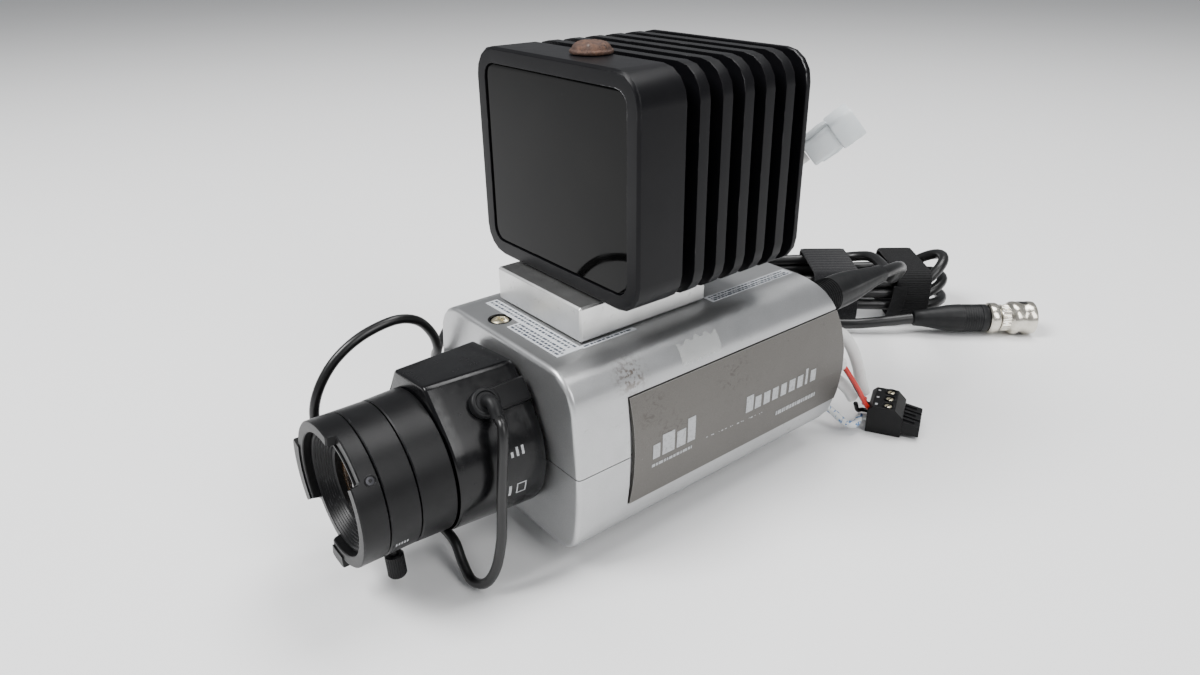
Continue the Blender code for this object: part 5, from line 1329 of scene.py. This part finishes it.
def build_lamp_bolt():
    low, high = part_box("lamp_bolt")
    centre = Vector(((low.x + high.x) / 2, (low.y + high.y) / 2, LAMP_TOP))
    profile = [(0, -4.5), (2.5, -4.5), (2.5, 0.3), (5.6, 0.3), (5.68, 0.6), (5.68, 0.95), (5.5, 1.15),
               (5.2, 1.3), (5.1, 1.6), (4.85, 2.1), (4.4, 2.6), (3.7, 3.0), (2.8, 3.25), (1.6, 3.38),
               (0.7, 3.4), (0, 3.4)]
    bm = bmesh.new()
    add_turned(bm, scaled(profile), turn_frame(centre, (0, 0, 1)), 72)
    for vert in bm.verts:
        if vert.co.z > LAMP_TOP + 0.5 * MM:
            vert.co.z += 0.12 * MM * (noise.noise(vert.co * 900) - 0.3)
            vert.co.xy = centre.xy + (vert.co.xy - centre.xy) * (1 + 0.02 * noise.noise(vert.co * 600))
    piece("lamp_bolt_head", bm, "rust", slot="rusty_steel", replaces=("lamp_bolt",), sharp=60)


def build_lamp_connector():
    """The nylon shell on the lamp's lead, with its collar, latch and mouth."""
    end, before = in_mm(PIGTAIL_ROUTE[-1:])[0], in_mm(PIGTAIL_ROUTE[-2:-1])[0]
    direction = (end - before).normalized()
    place = turn_frame(end + direction * GAP, direction)
    rings = []
    for height, width, depth in ((0, 7.9, 6.9), (0.4, 8.5, 7.5), (9.3, 8.5, 7.5), (9.5, 10.1, 8.6),
                                 (9.9, 10.5, 9), (16.6, 10.5, 9), (17, 10.0, 8.5), (17, 8.3, 6.8),
                                 (12.5, 8.1, 6.6)):
        outline = rounded_rectangle(width * MM, depth * MM, 1.2 * MM, 5)
        rings.append([place @ Vector((x, y, height * MM)) for x, y in outline])
    bm = bmesh.new()
    add_loft(bm, rings)
    for sign in (1, -1):
        rows = []
        for height, lift in ((2.0, 0.1), (2.6, 0.9), (7.2, 1.2), (9.4, 0.9), (9.6, 0.2)):
            rows.append([place @ Vector((x * MM, sign * y * MM, height * MM)) for x, y in
                         ((-1.7, 3.4), (1.7, 3.4), (1.7, 3.75 + lift), (-1.7, 3.75 + lift))])
        add_loft(bm, rows)
    for x in (-2.9, 0.0, 2.9):
        rows = [[place @ Vector(((x + dx) * MM, y * MM, height * MM)) for dx, y in
                 ((-0.3, -4.9), (0.3, -4.9), (0.3, -4.3), (-0.3, -4.3))] for height in (10.4, 16.2)]
        add_loft(bm, rows)
    piece("lamp_connector_shell", bm, "nylon", slot="white_nylon", replaces=("lamp_connector",), sharp=40)


def build_terminal_block():
    """A pluggable terminal block: three ways, each with its screw, entry and finger."""
    half_row, front, top = 7.62, 6.0, 10.5

    def prism(outline, low, high):
        return [[terminal_point(along * MM, across * MM, z * MM) for along, z in outline]
                for across in (low, high)]
    bm = bmesh.new()
    body = [(-front, 0), (front, 0), (front, top * 0.72), (front - 3, top), (-front + 1.5, top),
            (-front, top * 0.85)]
    add_loft(bm, prism(body, -half_row, half_row))
    for i in range(3):
        centre = (i - 1) * 5.08
        finger = [(front - 1, 1.2), (front + 6, 1.2), (front + 6, top * 0.5), (front + 2.6, top * 0.56),
                  (front - 1, top * 0.62)]
        add_loft(bm, prism(finger, centre - 2.0, centre + 2.0))
        rib = [(front - 1, top * 0.6), (front + 4.2, top * 0.52), (front + 4.2, top * 0.6),
               (front - 1, top * 0.68)]
        add_loft(bm, prism(rib, centre - 0.5, centre + 0.5))
    soften(piece("terminal_housing", bm, "plastic", slot="black_plastic", replaces=("terminal_block",)),
           0.22 * MM)
    for i in range(3):
        at = terminal_point(0.6 * MM, (i - 1) * 5.08 * MM, 10.5 * MM)
        well = [(1.75, -0.5), (2.1, -0.5), (2.1, 0.3), (1.95, 0.42), (1.75, 0.3)]
        turned(f"terminal_well_{i}", scaled(well), "plastic", at, (0, 0, 1), 40, slot="black_plastic")
        cross_screw(f"terminal_screw_{i}", at - Vector((0, 0, 0.35 * MM)), (0, 0, 1), 1.65 * MM, 0.5 * MM,
                    "brass", slot="brass", slotted=True)
        bm = bmesh.new()
        add_slab(bm, lambda u, v, lift: terminal_point(-u * MM, v * MM, (10.5 + lift) * MM), (3.0, 3.9),
                 ((i - 1) * 5.08 - 0.5, (i - 1) * 5.08 + 0.3 + 0.2 * i), (1, 1), (0.0, 0.04))
        piece(f"terminal_mark_{i}", bm, "print", slot="white_sheath")


def build_iris_connector():
    """The square plug on the iris lead, with ribs to grip it by."""
    low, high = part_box("iris_plug")
    bm = bmesh.new()
    middle = (low + high) / 2
    size = high - low
    rings = []
    for share, shrink in ((0.0, 0.86), (0.03, 0.98), (0.30, 1.0), (0.34, 0.93), (0.38, 0.93), (0.42, 1.0),
                          (0.46, 0.93), (0.50, 0.93), (0.54, 1.0), (0.98, 1.0), (1.0, 0.96)):
        outline = rounded_rectangle(size.y * shrink, size.z * shrink, 1.0 * MM, 4)
        rings.append([Vector((low.x + size.x * share, middle.y + y, middle.z + z)) for y, z in outline])
    add_loft(bm, rings)
    piece("iris_connector", bm, "plastic", slot="black_plastic", replaces=("iris_plug",), sharp=40)


# ---------------------------------------------------------------- the CAD nodes' own finish

FINISH = {
    "silver": ("upper_shell", "lower_shell"),
    "plate": ("right_side_plate", "left_side_plate"),
    "anodised": ("tripod_adapter", "lamp_body", "lamp_rear_cover"),
    "milled": ("mounting_block",),
    "plastic": ("rear_panel", "iris_socket", "sensor_carriage"),
    "rubber": ("button_up", "button_down", "button_left", "button_right", "button_set"),
    "window": ("lamp_window",),
    "glass": ("rear_lens",),
    "board": ("main_board", "sensor_board", "lamp_board"),
    "steel": ("lens_mount_ring", "lens_flange", "back_focus_screw", "back_focus_motor", "iris_rotor",
              "iris_blade_upper", "iris_blade_lower", "block_bolt"),
    "nickel": ("video_socket",),
}
EDGE = {  # millimetres
    "upper_shell": 0.2, "lower_shell": 0.2, "right_side_plate": 0.12, "left_side_plate": 0.12,
    "tripod_adapter": 0.4,
    "lamp_body": 0.3, "lamp_rear_cover": 0.3, "mounting_block": 0.12, "rear_panel": 0.3,
    "lens_mount_ring": 0.2,
    "lamp_window": 0.15,
}


def smoothing(angle):
    """A node group that smooths a mesh's shading, apart from edges sharper than the angle."""
    group = bpy.data.node_groups.new("smooth_by_angle", "GeometryNodeTree")
    group.interface.new_socket("Geometry", in_out="INPUT", socket_type="NodeSocketGeometry")
    group.interface.new_socket("Geometry", in_out="OUTPUT", socket_type="NodeSocketGeometry")
    start, end = group.nodes.new("NodeGroupInput"), group.nodes.new("NodeGroupOutput")
    faces, edges = (group.nodes.new("GeometryNodeSetShadeSmooth") for _ in range(2))
    edges.domain = "EDGE"
    turn = group.nodes.new("GeometryNodeInputMeshEdgeAngle")
    below = group.nodes.new("ShaderNodeMath")
    below.operation = "LESS_THAN"
    below.inputs[1].default_value = angle
    group.links.new(start.outputs[0], faces.inputs["Geometry"])
    group.links.new(faces.outputs["Geometry"], edges.inputs["Geometry"])
    group.links.new(turn.outputs["Unsigned Angle"], below.inputs[0])
    group.links.new(below.outputs[0], edges.inputs["Shade Smooth"])
    group.links.new(edges.outputs["Geometry"], end.inputs[0])
    return group


def finish_nodes():
    """Gives every CAD node its material and smooth shading, and the visible ones slightly rounded edges."""
    group = smoothing(math.radians(38))
    for surface, names in FINISH.items():
        for name in names:
            node = NODES[name]
            node.data.materials.clear()
            node.data.materials.append(M[surface])
            weld = node.modifiers.new("weld", "WELD")
            weld.merge_threshold = 1e-6
            if name in EDGE:
                soften(node, EDGE[name] * MM)
            node.modifiers.new("smooth", "NODES").node_group = group
            node.modifiers.new("normals", "WEIGHTED_NORMAL").keep_sharp = True


build_camera()
LEADS = build_leads()
build_studio()
build_video_ends()
build_ties()
for build in (build_case, build_gland, build_barrel, build_zoom_ring, build_focus_ring, build_lock_screw,
              build_glass):
    build()
build_lamp_bolt()
build_lamp_connector()
build_terminal_block()
build_iris_connector()
build_prints()
build_screws()
finish_nodes()
